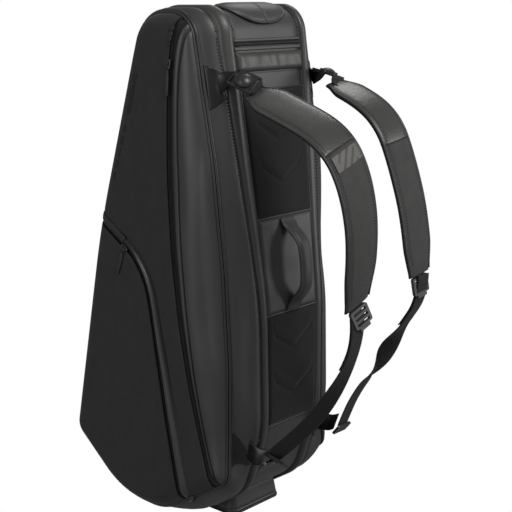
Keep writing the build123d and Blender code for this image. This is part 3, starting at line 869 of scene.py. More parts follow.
def band_seam(heights):
    """How far the seam beside the main zip is from the zip's slot, by height."""
    return np.interp(heights, BAND_SEAM_Z, BAND_SEAM)


def spine_border_grid():
    """The coated strip between the spine's seam and the main zip, as points."""
    rim = rim_stretch(spine_edge[0], spine_edge[-1])
    upper = resampled(spine_edge, ROWS)
    lower = resampled(rim, ROWS)
    columns = np.concatenate([np.linspace(0, 0.36, 34)[:-1], np.linspace(0.36, 1, 26)])
    fractions = columns[None, :, None]
    grid = (1 - fractions) * upper[:, None] + fractions * lower[:, None]
    gap = distance(grid.reshape(-1, 2), spine_edge).reshape(grid.shape[:2])
    seam = band_seam(grid[..., 1])
    height = face_height(grid, rounding=SPINE_ROUND, crown=1.0)
    height -= 4.6 * (1 - smooth_step(gap / (seam * 0.62)))
    height -= 5.0 * np.exp(-((gap - seam) / 1.5) ** 2)
    past = np.clip((gap - seam) / 40, 0, 1)
    height += 3.4 * np.sin(math.pi * past ** 0.8)
    return grid, height


def ribbon_width(heights):
    """Width of the raised ribbon over the pocket's zip, by height."""
    return np.interp(heights, (60, 170, 300, 390), (19.0, 15.0, 9.5, 8.0))


def shade_depth(heights, places):
    """Depth of the gutter beside the ribbon: deep round the bend, gone at the foot."""
    low = smooth_step((heights - 110) / 120)
    return 4.2 * low * (1 - smooth_step((places - 60) / 12) * 0.6)


def lid_grid():
    rim = rim_stretch(lid_edge[-1], outer_edge[-1])
    upper = joined(lid_edge, rim, 0.88, ROWS)
    lower = resampled(outer_edge, ROWS)
    columns = clustered(64)
    foot = rim_stretch(outer_edge[0], lid_edge[0])[::-1]
    first = resampled(foot, columns)
    last = straight(upper[-1], lower[-1], columns)
    grid = coons(upper, lower, first, last)
    flat = grid.reshape(-1, 2)
    pocket_gap = distance(flat, outer_edge).reshape(grid.shape[:2])
    gap = np.minimum(distance(flat, lid_edge).reshape(grid.shape[:2]), pocket_gap)
    height = face_height(grid) - edge_roll(gap, 2.4)
    depth, centre = shade_depth(grid[..., 1], grid[..., 0]), ribbon_width(grid[..., 1]) + 3.0
    height -= depth * np.exp(-((pocket_gap - centre) / 2.6) ** 2)
    return grid, height


def pocket_grid():
    rim = rim_stretch(inner_edge[-1], inner_edge[0])[::-1]
    upper = resampled(inner_edge, ROWS)
    lower = resampled(rim, ROWS)
    columns = clustered(60)[None, :, None]
    grid = (1 - columns) * upper[:, None] + columns * lower[:, None]
    gap = distance(grid.reshape(-1, 2), inner_edge).reshape(grid.shape[:2])
    height = face_height(grid, crown=2.6) - edge_roll(gap, 2.2)
    rim_gap = distance(grid.reshape(-1, 2), rim_loop, True).reshape(grid.shape[:2])
    height += POCKET_PROUD * smooth_step(rim_gap / 20)
    return grid, height


def face_points(grid, height, side):
    return mirrored(np.concatenate([-height[..., None], grid], -1), side)


def drop_faces(piece, keep):
    """Keeps only the faces marked, and the points they use."""
    work = bmesh.new()
    work.from_mesh(piece.data)
    work.faces.ensure_lookup_table()
    gone = [face for face in work.faces if not keep[face.index]]
    bmesh.ops.delete(work, geom=gone, context="FACES")
    work.to_mesh(piece.data)
    work.free()


def line_on_face(line, lift, rounding=FACE_ROUND, crown=2.0):
    """A line of the face's plane raised onto the face, as left-hand points."""
    height = face_height(line, rounding, crown) + lift
    return np.concatenate([-height[:, None], line], 1)


def strip_on_face(name, line, offsets, heights, made, side, thickness=0.6, rounding=FACE_ROUND):
    """A ribbon along a line of the face: a cross profile of offsets and heights."""
    rows = []
    base = face_height(line, rounding)
    for offset, height in zip(offsets, heights):
        moved = shifted(line, offset)
        rows.append(np.concatenate([-(base + height)[:, None], moved], 1))
    points = mirrored(np.stack(rows, 1), side)
    return grid_object(name, points, [made], outward=OUTWARD[side], thickness=thickness * MM)


def coil(name, line, near, far, phase, lift, side, pitch=2.6):
    """A zip's coil: one strand that runs to and fro across the edge of its tape."""
    count = int(lengths(line)[-1] / pitch * 4)
    dense = resampled(line, count)
    base = face_height(dense)
    swing = 0.5 - 0.5 * np.cos((np.arange(count) / 4 + phase) * 2 * math.pi)
    rise = 0.6 * np.sin((np.arange(count) / 4 + phase) * 2 * math.pi)
    along = unit(np.gradient(dense, axis=0))
    right = np.stack([along[:, 1], -along[:, 0]], 1)
    moved = dense + right * (near + (far - near) * swing)[:, None]
    path = mirrored(np.concatenate([-(base + lift + rise)[:, None], moved], 1), side)
    return tube(name, path, 0.55, COIL, sides=5)


def hinge_blend(piece, side):
    """Bakes a piece's place into its mesh. The ends of a bend across the front edge are worked out but not
    used.
    """
    start = placed([SIGN[side] * 122.0, *(AXIS_POINT + AXIS_INWARD * 2)])
    end = placed([SIGN[side] * 122.0, *(AXIS_POINT + AXIS_INWARD * 24)])
    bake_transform(piece)


fold_along = unit(FOLD_TOP - FOLD_FOOT)
fold_side = np.array([-fold_along[1], fold_along[0]])


def fold_blend(piece, side):
    """Bakes a piece's place into its mesh. The ends of a bend across the pocket's fold are worked out but not
    used.
    """
    start = placed([SIGN[side] * 138.5, *(FOLD_FOOT - fold_side * 9)])
    end = placed([SIGN[side] * 138.5, *(FOLD_FOOT + fold_side * 9)])
    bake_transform(piece)


def offset_strip(name, line, offsets, heights, made, side):
    """A ribbon along a line of the face, its offsets given point by point."""
    normal = shifted(line, 1.0) - line
    rows = []
    for offset, height in zip(offsets, heights):
        moved = line + normal * np.broadcast_to(offset, len(line))[:, None]
        level = face_height(moved) + height
        rows.append(np.concatenate([-level[:, None], moved], 1))
    points = mirrored(np.stack(rows, 1), side)
    return grid_object(name, points, [made], outward=OUTWARD[side], thickness=1 * MM)


def build_ribbon(side):
    """The raised ribbon over the pocket's zip below its slider, a strip of painted shade in the gutter beside
    it, and the flat tape above it.
    """
    line = resampled(trimmed(pocket_track, rim_loop), 260)
    bend = int(np.argmin(np.linalg.norm(line - SLIDER_PLACES["pocket"], axis=1)))
    low = line[:bend - 4]
    width = ribbon_width(low[:, 1])
    end = smooth_step(np.arange(len(low))[::-1] / 14)
    offsets = [-4.6 - (width - 2.0) * t for t in (0, 0.08, 0.25, 0.5, 0.75, 0.92, 1.0)]
    heights = [r * end - 0.6 for r in (-1.8, 1.6, 3.0, 3.6, 2.8, 0.8, -2.6)]
    ribbon = offset_strip(f"{side}_pocket_ribbon", low, offsets, heights, RIB, side)
    # Painted shade: a near-black tape strip laid in the bottom of the gutter beside the ribbon, darkening it
    # beyond the shade that its depth gives.
    gutter = offset_strip(f"{side}_pocket_gutter_shade", low, [-3.2 - width, -5.5 - width],
                          [-3.6, -3.6], TAPE, side)
    high = line[bend + 4:]
    band = offset_strip(f"{side}_pocket_band", high, [-3.2, -4.2, -9.0, -13.2, -14.2],
                        [-1.6, 0.9, 1.5, 0.9, -1.6], TEXTILE, side)
    for piece in (ribbon, gutter, band):
        hinge_blend(piece, side)


def build_stripe(side):
    """A raised tonal stripe beside the front edge, then plain dashes."""
    run = soft_curve(STRIPE_LINE, 60)
    along = lengths(run)
    starts = STRIPE_LENGTH + DASH_GAP * np.arange(1, DASHES + 1)
    spans = [(0.0, STRIPE_LENGTH)] + [(start, start + DASH) for start in starts]
    for number, (start, stop) in enumerate(spans):
        places = np.linspace(start, stop, 24)
        part = np.stack([np.interp(places, along, run[:, k]) for k in range(2)], 1)
        half = STRIPE_HALF if number == 0 else STRIPE_HALF * 0.6
        piece = offset_strip(f"{side}_stripe_{number}", part, [-half, -half + 0.8, half - 0.8, half],
                             [0.1, 0.8, 0.8, 0.1], PRINT, side)
        hinge_blend(piece, side)


def build_spine_border(side):
    """The fixed strip behind the main zip."""
    border = grid_object(f"{side}_spine_band", face_points(*spine_border_grid(), side), [COATED, LINING],
                         outward=OUTWARD[side], thickness=FACE_THICK * MM, lining=1)
    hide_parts(f"{side}_spine_border")
    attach(border, "root")


def build_lid(side):
    lid = grid_object(f"{side}_lid_face", face_points(*lid_grid(), side), [TEXTILE, LINING],
                      outward=OUTWARD[side], thickness=FACE_THICK * MM, lining=1)
    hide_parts(f"{side}_lid")
    hinge_blend(lid, side)


def build_pocket(side):
    """The pocket's panel, parted into its mouth and the rest, and the lining behind both."""
    grid, height = pocket_grid()
    points = face_points(grid, height, side)
    beyond_fold = ((grid - FOLD_FOOT) @ fold_side > -FOLD_CLEAR)
    clear_of_hinge = ((grid - AXIS_POINT) @ AXIS_INWARD > HINGE_CLEAR)
    free = beyond_fold & clear_of_hinge
    mouth_face = (free[:-1, :-1] & free[1:, :-1] & free[:-1, 1:] & free[1:, 1:]).ravel()
    mouth = grid_object(f"{side}_pocket_mouth", points, [TEXTILE, LINING], outward=OUTWARD[side])
    drop_faces(mouth, mouth_face)
    panel = grid_object(f"{side}_pocket_face", points, [TEXTILE, LINING], outward=OUTWARD[side])
    drop_faces(panel, ~mouth_face)
    for piece in (mouth, panel):
        solid = piece.modifiers.new("thickness", "SOLIDIFY")
        solid.thickness = POCKET_THICK * MM
        solid.offset = -1
        solid.material_offset = 1
        crisp = piece.modifiers.new("crisp", "EDGE_SPLIT")
        crisp.split_angle = math.radians(40)
    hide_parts(f"{side}_pocket_flap")
    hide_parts(f"{side}_pocket_panel")
    fold_blend(mouth, side)
    hinge_blend(panel, side)

    floor_height = np.minimum(height - 6, LINING_LEVEL)
    floor = grid_object(f"{side}_pocket_lining", face_points(grid, floor_height, side)[:, ::2], [LINING],
                        outward=OUTWARD[side], thickness=1 * MM)
    hinge_blend(floor, side)


def build_main_zip(side):
    """Two tapes with their teeth, and the dark seam beside them."""
    zip_inside = resampled(trimmed(main_line, rim_loop), 200)
    for row, way, phase, body in (("spine", -1, 0.0, "root"), ("lid", 1, 0.5, f"{side}_lid")):
        offsets = [way * 11, way * 6, way * 1.2][::-way]
        levels = [TAPE_LEVEL - 0.2, TAPE_LEVEL, TAPE_LEVEL][::-way]
        tape = strip_on_face(f"{side}_{row}_tape", zip_inside, offsets, levels, TAPE, side)
        teeth = coil(f"{side}_{row}_coil", zip_inside, way * 2.6, way * -0.35, phase, TEETH_LEVEL, side)
        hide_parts(f"{side}_{row}_zip")
        for piece in (tape, teeth):
            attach(piece, body)

    reach = SLOT_HALF + band_seam(main_line[:, 1])
    seam_track = main_line + (shifted(main_line, -1.0) - main_line) * reach[:, None]
    seam_track = resampled(trimmed(seam_track, rim_loop), 220)
    seam_points = mirrored(line_on_face(seam_track, TAPE_LEVEL - 0.2, SPINE_ROUND, 1.0), side)
    dark = tube(f"{side}_zip_seam", seam_points, 0.9, THREAD, sides=6)
    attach(dark, "root")


def build_pocket_zip(side):
    pocket_inside = resampled(trimmed(pocket_track, rim_loop), 220)
    tape = strip_on_face(f"{side}_pocket_tape", pocket_inside, [-8, -1, 0, 1, 8],
                         [-3.6, -3.0, -3.0, -3.0, -3.6], TAPE, side)
    teeth = coil(f"{side}_pocket_coil", pocket_inside, -1.6, 1.6, 0.0, -2.2, side, pitch=2.2)
    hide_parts(f"{side}_pocket_zip")
    for piece in (tape, teeth):
        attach(piece, f"{side}_lid")


def build_face(side):
    build_spine_border(side)
    build_lid(side)
    build_pocket(side)
    build_main_zip(side)
    build_pocket_zip(side)
    build_ribbon(side)
    build_stripe(side)


build_body()
for side in ("left", "right"):
    build_face(side)


# ---- back of the bag -----------------------------------------------------------------------------

def height_index(loop, heights, low, high):
    """Loop positions at given heights, on the back of a loop between two levels."""
    count = len(loop)
    keep = [i for i in range(count) if loop[i, 0] < -60 and low < loop[i, 1] < high]
    keep = np.array(sorted(keep, key=lambda i: loop[i, 1]))
    order = keep.astype(float)
    jump = np.flatnonzero(np.abs(np.diff(order)) > count / 2)
    for k in jump:
        order[k + 1:] += count * np.sign(order[k] - order[k + 1])
    return np.interp(heights, loop[keep, 1], order)


def back_index(heights):
    return height_index(panel_loop, heights, 46, 768)


def seam_index(heights):
    return height_index(seam_loop, heights, 60, 760)


def back_point(across, heights, lift):
    """Points over the back panel at x and z, lifted off it."""
    across, heights, lift = np.broadcast_arrays(across, heights, lift)
    index = back_index(heights)
    base = between(panel_loop, index)
    normal = unit(between(panel_normals, index))
    return np.concatenate([across[..., None], base + normal * lift[..., None]], -1)


def pad_edge(across_left, along_left, reach):
    """The rounded fall of a pad towards its sewn edge, from 0 at the edge to 1."""
    gap = np.clip(np.minimum(across_left, along_left) / reach, 0, 1)
    return np.sqrt(1 - (1 - gap) ** 2)


def back_pad(name, low, high, half_low, half_high, rise, made, relief=None, rows=90, columns=70, reach=7.0):
    """A pad on the back panel with rounded edges and a relief pressed into it."""
    heights = low + (high - low) * clustered(rows)[:, None]
    half = np.interp(heights, [low, high], [half_low, half_high])
    across = half * (clustered(columns)[None] * 2 - 1)
    lift = rise * pad_edge(half - np.abs(across), np.minimum(heights - low, high - heights), reach)
    if relief is not None:
        lift = lift + relief(across, heights) * smooth_step((half - np.abs(across)) / 10)
    points = back_point(across, heights, lift + PANEL_SINK - 0.8)
    piece = grid_object(name, points, [made], outward=(0, -1, 0), thickness=2 * MM)
    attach(piece, "root")
    return piece


def chevrons(tips):
    """Pressed V lines that point down, their arms rising outwards."""
    def relief(across, heights):
        fall = np.zeros(np.broadcast(across, heights).shape)
        for tip in tips:
            away = heights - (tip + np.abs(across) * 0.62)
            reach = smooth_step((46 - np.abs(across)) / 6)
            fall -= 2.6 * np.exp(-(away / 2.6) ** 2) * reach
            fall += 0.9 * np.exp(-((away - 13) / 7) ** 2) * reach
        return fall
    return relief


def pad_frame(name, low, high, half_low, half_high, lift, radius, made):
    """The bound edge round a back pad."""
    heights = np.linspace(low, high, 60)
    sides = np.interp(heights, [low, high], [half_low, half_high])
    top = np.linspace(1, -1, 30)[1:-1]
    path = np.concatenate([
        back_point(sides, heights, np.full(60, lift)),
        back_point(top * half_high, np.full(28, high), np.full(28, lift)),
        back_point(-sides[::-1], heights[::-1], np.full(60, lift)),
        back_point(-top * half_low, np.full(28, low), np.full(28, lift)),
    ])
    piece = tube(name, path, radius, made, sides=8, closed=True, up=(0, -1, 0.1))
    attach(piece, "root")
    return piece


def wrinkled(across, heights):
    """Gathered folds across the stow band, deeper where the cloth is slack."""
    folds = np.sin(across / 5.3 + 1.1 * np.sin(across / 19)) * np.sin(across / 13 + 0.8)
    return 0.4 * folds + 0.15 * np.sin(across / 3.7 + heights / 6 + 2 * np.sin(across / 11))


def panel_folds(across, heights):
    return 0.5 * np.sin(across / 23 + heights / 31) + 0.3 * np.sin(heights / 9 + across / 37)


def flat_line(name, height, half, width, made, lift):
    """A flat ribbon across the back at one height."""
    across = np.linspace(-half, half, 50)[None]
    rows = np.array([-width / 2, -width / 4, width / 4, width / 2])[:, None] + height
    raised = np.array([0.0, 0.5, 0.5, 0.0])[:, None] + lift
    points = back_point(across, rows, raised + 0 * across)
    piece = grid_object(name, points, [made], outward=(0, -1, 0), thickness=0.6 * MM)
    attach(piece, "root")
    return piece


def build_back():
    pads = (
        ("upper_mesh_pad", (474, 660, 61, 69, 5.5), MESH, chevrons((586, 522)), "upper_back_pad", "mesh"),
        ("lower_mesh_pad", (153, 326, 54.5, 57, 5.5), MESH, chevrons((268, 196)), "lower_back_pad", "mesh"),
        ("handle_zone", (328, 472, 57, 61.5, 6.0), COATED, panel_folds, "handle_panel", "coated_fabric"),
    )
    for name, shape, made, relief, node, slot_name in pads:
        pad = back_pad(name, *shape, made, relief)
        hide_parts(node)
    band = back_pad("stow_cover", 687, 715, 72.5, 74, 7.0, RIB, wrinkled, rows=26, columns=150, reach=9.0)
    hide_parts("stow_band")
    frames = (("upper_mesh_edge", (473, 661, 62, 70)), ("lower_mesh_edge", (152, 327, 55.5, 58)),
              ("handle_zone_edge", (327.5, 472.5, 58, 62.5)))
    for name, shape in frames:
        pad_frame(name, *shape, 0.4, 1.5, BEAD)
    flat_line("stow_zip_tape", STOW_ZIP_Z, 73, 8, TAPE, -1.2)
    flat_line("stow_zip_edge_high", STOW_ZIP_Z + 5.5, 73.5, 4.5, COATED, 0.0)
    flat_line("stow_zip_edge_low", STOW_ZIP_Z - 6.5, 73.5, 5.5, COATED, 0.2)
    turns = np.arange(240)
    across = np.linspace(-STOW_HALF, STOW_HALF, len(turns))
    wave = STOW_ZIP_Z + 1.2 * np.sin(turns * math.pi / 2)
    strand = tube("stow_zip_coil", back_point(across, wave, np.full(240, -0.4)), 0.6, COIL, sides=5)
    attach(strand, "root")
    for name, height in (("stow_stitch_high", 734), ("stow_stitch_low", 685)):
        places = np.linspace(-STOW_HALF, STOW_HALF, 60)
        path = back_point(places, np.full(60, height), np.full(60, -0.4))
        normals = np.tile((0, -1, 0.1), (60, 1))
        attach(stitches(name, path, normals, 4.6, 3.2, 0.4, THREAD), "root")


# ---- padded sweeps: handles and straps -----------------------------------------------------------

def section(width, thick, squareness, count=36):
    """A rounded flat section as (across, up) pairs, crowned more above than below."""
    angles = np.linspace(0, 2 * math.pi, count, endpoint=False)
    c, s = np.cos(angles), np.sin(angles)
    across = np.sign(c) * np.abs(c) ** (2 / squareness) * width / 2
    up = np.sign(s) * np.abs(s) ** 0.75 * thick / 2
    return np.stack([across, up], 1)


def padded_sweep(name, path, across_axes, up_axes, widths, thicks, squareness, materials, pick=None):
    """A padded strap or handle: sections along a path."""
    rings = []
    count = 36
    for k, point in enumerate(path):
        shape = section(widths[k], thicks[k], squareness, count)
        rings.append(point + across_axes[k] * shape[:, :1] + up_axes[k] * shape[:, 1:])
    indices = None
    if pick is not None:
        indices = [pick(i, j) for i in range(len(path) - 1) for j in range(count)]
    return closed_sweep(name, rings, materials, face_materials=indices)


def grab_handle():
    """The padded handle down the middle of the back, with its piped edges."""
    along = unit(GRAB_FOOT - GRAB_TOP)
    out = np.array([0, along[2], -along[1]])
    out = out if out[1] < 0 else -out
    length = np.linalg.norm(GRAB_FOOT - GRAB_TOP)
    flat = soft_curve([(share * length, rise) for share, rise in GRAB_RISE], 70)
    path = GRAB_TOP + along * flat[:, :1] + out * flat[:, 1:]
    tangents = unit(np.gradient(path, axis=0))
    across = np.tile((1.0, 0, 0), (len(path), 1))
    up = np.cross(across, tangents)
    up *= np.sign((up @ out))[:, None] + (up @ out == 0)[:, None]
    places = np.linspace(0, 1, len(path))
    full = smooth_step(np.minimum(places, 1 - places) / 0.2)
    widths = 30 - 7 * full
    thicks = 3.5 + 7.5 * full
    body = padded_sweep("grab_handle_body", path, across, up, widths, thicks, 3.2, [COATED])
    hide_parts("grab_handle")
    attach(body, "grab_handle")
    for name, sign in SIGN.items():
        edge = path + across * (widths / 2 - 0.4)[:, None] * sign
        bead = tube(f"grab_handle_bead_{name}", edge, 1.5, BEAD, sides=8)
        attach(bead, "grab_handle")
    for number, low in enumerate((GRAB_TOP[2] - 18, GRAB_FOOT[2] + 9)):
        patch = back_pad(f"grab_handle_patch_{number}", low, low + 9, 16, 16, 4.0, COATED,
                         rows=20, columns=24, reach=3)


def haul_frame(s, across, lift):
    """Points over the top back corner: s runs from the front edge of the handle over to the back."""
    s, across, lift = np.broadcast_arrays(s, across, lift)
    past = s + HAUL_CORNER[0]
    angle = np.clip(past / HAUL_BEND_R, 0, None)
    on_flat = np.stack([-s, HAUL_CORNER[1] + HAUL_BEND_R + lift], -1)
    spoke = np.stack([-np.sin(angle), np.cos(angle)], -1)
    on_arc = HAUL_CORNER + spoke * (HAUL_BEND_R + lift)[..., None]
    y_z = np.where((past < 0)[..., None], on_flat, on_arc)
    return np.concatenate([across[..., None], y_z], -1)


def haul_half_width(across):
    """Half the handle's width at each x: broad in the middle, drawn in at its ends."""
    share = np.clip(np.abs(across) / HAUL_HALF, 0, 1)
    return HAUL_REACH * (1 - 0.55 * share ** 2.4) * np.sqrt(np.clip(1 - share ** 7, 0, 1))


def haul_handle(side):
    """One half of the broad handle over the top back corner."""
    sign = SIGN[side]
    out = np.linspace(0, 1, 46) ** 0.8 * HAUL_HALF
    across = sign * out
    half = haul_half_width(across)[:, None]
    v = np.linspace(-1, 1, 44)[None]
    s = HAUL_MIDDLE + half * v
    share = (out / HAUL_HALF)[:, None]
    lifted = 2.0 * smooth_step((1 - share) / 0.5)
    pillow = np.sqrt(np.clip(1 - np.abs(v) ** 3.2, 0, 1)) * np.sqrt(np.clip(1 - share ** 6, 0, 1))
    top = haul_frame(s, across[:, None], lifted + 0.4 + 4.6 * pillow)
    below = haul_frame(s, across[:, None], lifted - 0.6 * pillow)
    rings = np.concatenate([top, below[:, ::-1][:, 1:-1]], 1)
    body = closed_sweep(f"{side}_haul_handle", rings, [COATED])
    edges = []
    for way in (1, -1):
        line = HAUL_MIDDLE + half[:, 0] * way
        edges.append(haul_frame(line, across, lifted[:, 0] + 0.6))
    path = np.concatenate([edges[0], edges[1][::-1]])
    bead = tube(f"{side}_haul_handle_bead", resampled(path, 130), 2.0, BEAD, sides=10)
    for piece in (body, bead):
        placed((sign * 58, -80, 780))
        placed((sign * 24, -80, 780))
        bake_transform(piece)
    return body


def build_handles():
    grab_handle()
    bodies = [haul_handle(side) for side in SIGN]
    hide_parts("haul_handle")


# ---- harness ----------------------------------------------------------------------------------------


def strap_frame(side, count):
    """The strap's middle line, with its directions across and outwards."""
    rule = np.array(PAD_RULE[side], float)
    width = np.linalg.norm(rule)
    flat = soft_curve(PAD_ROUTE[side], count)
    edge = np.concatenate([np.full((count, 1), PAD_FIRST_X[side]), flat], 1)
    tangents = unit(np.gradient(edge, axis=0))
    across = np.tile(rule / width, (count, 1))
    inward = unit(np.cross(tangents, across))
    if inward[count // 2, 1] < 0:
        inward = -inward
    middle = edge + rule / 2 + inward * PAD_THICK / 2
    return middle, across, -inward, width


def build_strap(side):
    body = f"{side}_strap"
    count = PAD_POINTS
    middle, across, out, width = strap_frame(side, count)
    places = np.linspace(0, 1, count)
    taper = 1 - 0.40 * (1 - smooth_step(places / 0.10)) - 0.22 * smooth_step((places - 0.86) / 0.14)
    widths = width * taper
    thicks = PAD_THICK * (0.55 + 0.45 * smooth_step(np.minimum(places, 1 - places) / 0.06))
    split_y, split_z, slant = PAD_SPLIT[side]
    high = middle[:, 2] - split_z - (middle[:, 1] - split_y) / slant * 0.2

    def pick(_, j):
        return 0 if 1 <= j <= 16 else 1

    cut = int(np.argmin(np.abs(high)))
    spans = (("coated", slice(0, cut + 1), COATED_BRIGHT, "upper"),
             ("textile", slice(cut, count), STRAP_TEXTILE, "lower"))
    for cloth, some, made, place in spans:
        pad = padded_sweep(f"{side}_strap_{cloth}", middle[some], across[some], out[some], widths[some],
                           thicks[some], 3.4, [made, MESH], pick)
        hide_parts(f"{side}_strap_{place}_pad")
        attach(pad, body)
    for name, sign in (("near", -1), ("far", 1)):
        edge = middle + across * (widths / 2 - 1.6)[:, None] * sign + out * 2.6
        bead = tube(f"{side}_strap_bead_{name}", edge[1:-1], 1.7, BEAD, sides=8)
        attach(bead, body)
        inner = middle + across * (widths / 2 - 7.5)[:, None] * sign + out * (thicks / 2 + 0.1)[:, None]
        thread = stitches(f"{side}_strap_stitches_{name}", inner[6:-4], out[6:-4], 4.4, 3.0, 0.35, THREAD)
        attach(thread, body)
    seam = middle[cut] + across[cut] * np.linspace(-0.47, 0.47, 30)[:, None] * widths[cut]
    lift = thicks[cut] / 2 * (1 - np.abs(np.linspace(-1, 1, 30)) ** 6 * 0.6)
    seam = seam + out[cut] * lift[:, None]
    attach(tube(f"{side}_strap_seam", seam, 0.9, THREAD, sides=6), body)
    if side == "left":
        strap_label(middle, across, out, widths, thicks, cut, body)
    return middle


def strap_label(middle, across, out, widths, thicks, cut, body):
    """A small sewn label across the strap, with plain slanted stripes."""
    rows = slice(cut + 2, cut + 10)
    v = np.linspace(-0.38, 0.42, 40)
    lift = (thicks[rows] / 2 + 0.25)[:, None] * (1 - 0.02 * np.abs(v)[None])
    grid = (middle[rows][:, None] + across[rows][:, None] * (v[None, :, None] * widths[rows][:, None, None])
            + out[rows][:, None] * lift[..., None])
    fine = 5
    count = (grid.shape[0] - 1) * fine + 1
    dense = np.stack([resampled(grid[:, j], count) for j in range(grid.shape[1])], 1)
    kinds = []
    for i in range(dense.shape[0] - 1):
        for j in range(dense.shape[1] - 1):
            slanted = (j * 0.5 + i * 0.22) % 5.5
            kinds.append(1 if slanted < 2.0 and 5 < j < 33 else 0)
    piece = grid_object("left_strap_label", dense, [LABEL, LABEL_MARK], outward=out[cut],
                        thickness=0.4 * MM, face_materials=kinds)
    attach(piece, body)


def flat_ribbon(name, path, across_axes, width, thick, made):
    """A woven ribbon along a path, ribbed across its width."""
    tangents = unit(np.gradient(path, axis=0))
    up = unit(np.cross(tangents, across_axes))
    side_axes = np.cross(up, tangents)
    v = np.linspace(-1, 1, 15)
    ribs = 0.22 * np.cos(v * math.pi * 7)
    upper = np.stack([v * width / 2, thick / 2 + ribs], 1)
    lower = np.stack([v[::-1] * width / 2, -thick / 2 - ribs], 1)
    ring = np.concatenate([upper, lower])
    rings = path[:, None] + side_axes[:, None] * ring[None, :, :1] + up[:, None] * ring[None, :, 1:]
    return closed_sweep(name, rings, [made])


def woven_sheet(path):
    """Works out the length of a ribbon's path in metres, and keeps nothing."""
    float(lengths(path)[-1]) * MM


def turned(axes, about, angles):
    """Directions turned about others by angles."""
    c, s = np.cos(angles)[:, None], np.sin(angles)[:, None]
    dot = (axes * about).sum(1, keepdims=True)
    return axes * c + np.cross(about, axes) * s + about * dot * (1 - c)


def build_webbing(side, middle):
    body = f"{side}_strap"
    x = SIGN[side] * WEB_X
    count = 110
    flat = soft_curve(WEB_ROUTE[side], count)
    path = np.concatenate([np.full((count, 1), x), flat], 1)
    places = np.linspace(0, 1, count)
    lean = np.array(PAD_RULE[side], float) / np.linalg.norm(PAD_RULE[side])
    share = (1 - places[:, None]) ** 2
    across = unit(lean * share + np.array([1.0, 0, 0]) * (1 - share))
    tangents = unit(np.gradient(path, axis=0))
    if side == "right":
        twist = math.pi * smooth_step((places - 0.28) / 0.42)
        across = turned(across, tangents, twist)
        sag = np.sin(math.pi * np.clip((places - 0.3) / 0.6, 0, 1)) ** 2
        path = path + np.array([0, 0, -9.0]) * sag[:, None]
    else:
        facing = unit(np.cross(tangents, WEB_FACING))
        facing *= np.sign((facing * across).sum(1, keepdims=True))
        turn = 0.72 * smooth_step((places - 0.12) / 0.5)[:, None]
        across = unit(across * (1 - turn) + facing * turn)
        fold = soft_curve(path[-1] + np.array([(0, 0, 3.0), (3, -12, -1.0), (5, -27, -5.0)]), 14)
        folded = flat_ribbon("left_webbing_fold", fold, np.tile(across[-1], (14, 1)), TAIL_WIDTH, 3.4,
                             WEBBING)
        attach(folded, body)
        woven_sheet(fold)
    web = flat_ribbon(f"{side}_webbing", path, across, WEB_WIDTH, WEB_THICK, WEBBING)
    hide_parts(f"{side}_strap_webbing")
    woven_sheet(path)
    low = path[int(count * 0.2)]
    placed(low)
    placed(path[0])
    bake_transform(web)
    behind = unit(np.cross(np.gradient(path, axis=0), across))
    behind *= -np.sign(behind[:, 1:2])
    hang = slice(3, 33)
    tail = (path - behind * np.linspace(3.4, 2.6, count)[:, None])[hang]
    end = flat_ribbon(f"{side}_webbing_tail", tail, across[hang], TAIL_WIDTH, 1.6, WEBBING)
    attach(end, f"{side}_ladder_lock")
    woven_sheet(tail)
    beyond = middle[-1] + (middle[-1] - middle[-2]) * 3
    hanger = resampled([middle[-14], middle[-6], beyond], 20)
    loop = flat_ribbon(f"{side}_lock_hanger", hanger, np.tile(lean, (20, 1)), WEB_WIDTH, WEB_THICK, WEBBING)
    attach(loop, body)
    woven_sheet(hanger)


def near_turn(index, beside):
    """Loop positions moved by whole turns to lie next to others."""
    count = len(panel_loop)
    return index + count * np.round((beside - index) / count)


def gusset_patch(name, node, side, rib_rows, seam_rows, relief):
    """A sewn patch on the gusset, from the rib beside the back to the side seam."""
    sign = SIGN[side]
    u = np.linspace(0, 1, 22)[None]
    inner = border_half(rib_rows) + rib_width(rib_rows) + 0.5
    start = back_index(rib_rows)
    index = start[:, None] * (1 - u) + near_turn(seam_index(seam_rows), start)[:, None] * u
    across = sign * (inner[:, None] * (1 - u) + (SEAM_X - 2.5) * u)
    points = on_body(index, across, relief(u))
    patch = grid_object(name, points, [PATCH], outward=(sign * 0.4, -1, 0), thickness=1 * MM)
    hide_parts(node)
    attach(patch, "root")


def upper_anchor(side):
    share = np.linspace(0, 1, 26)
    rows = share[:, None]

    def creases(u):
        waves = 0.5 * np.sin(u * 19 + 4 * rows) + 0.4 * np.sin(u * 7 - 9 * rows)
        return 1.2 + waves * 0.6

    gusset_patch(f"{side}_anchor_patch", f"{side}_upper_anchor", side,
                 656 + 33 * share, 636 + 62 * share, creases)


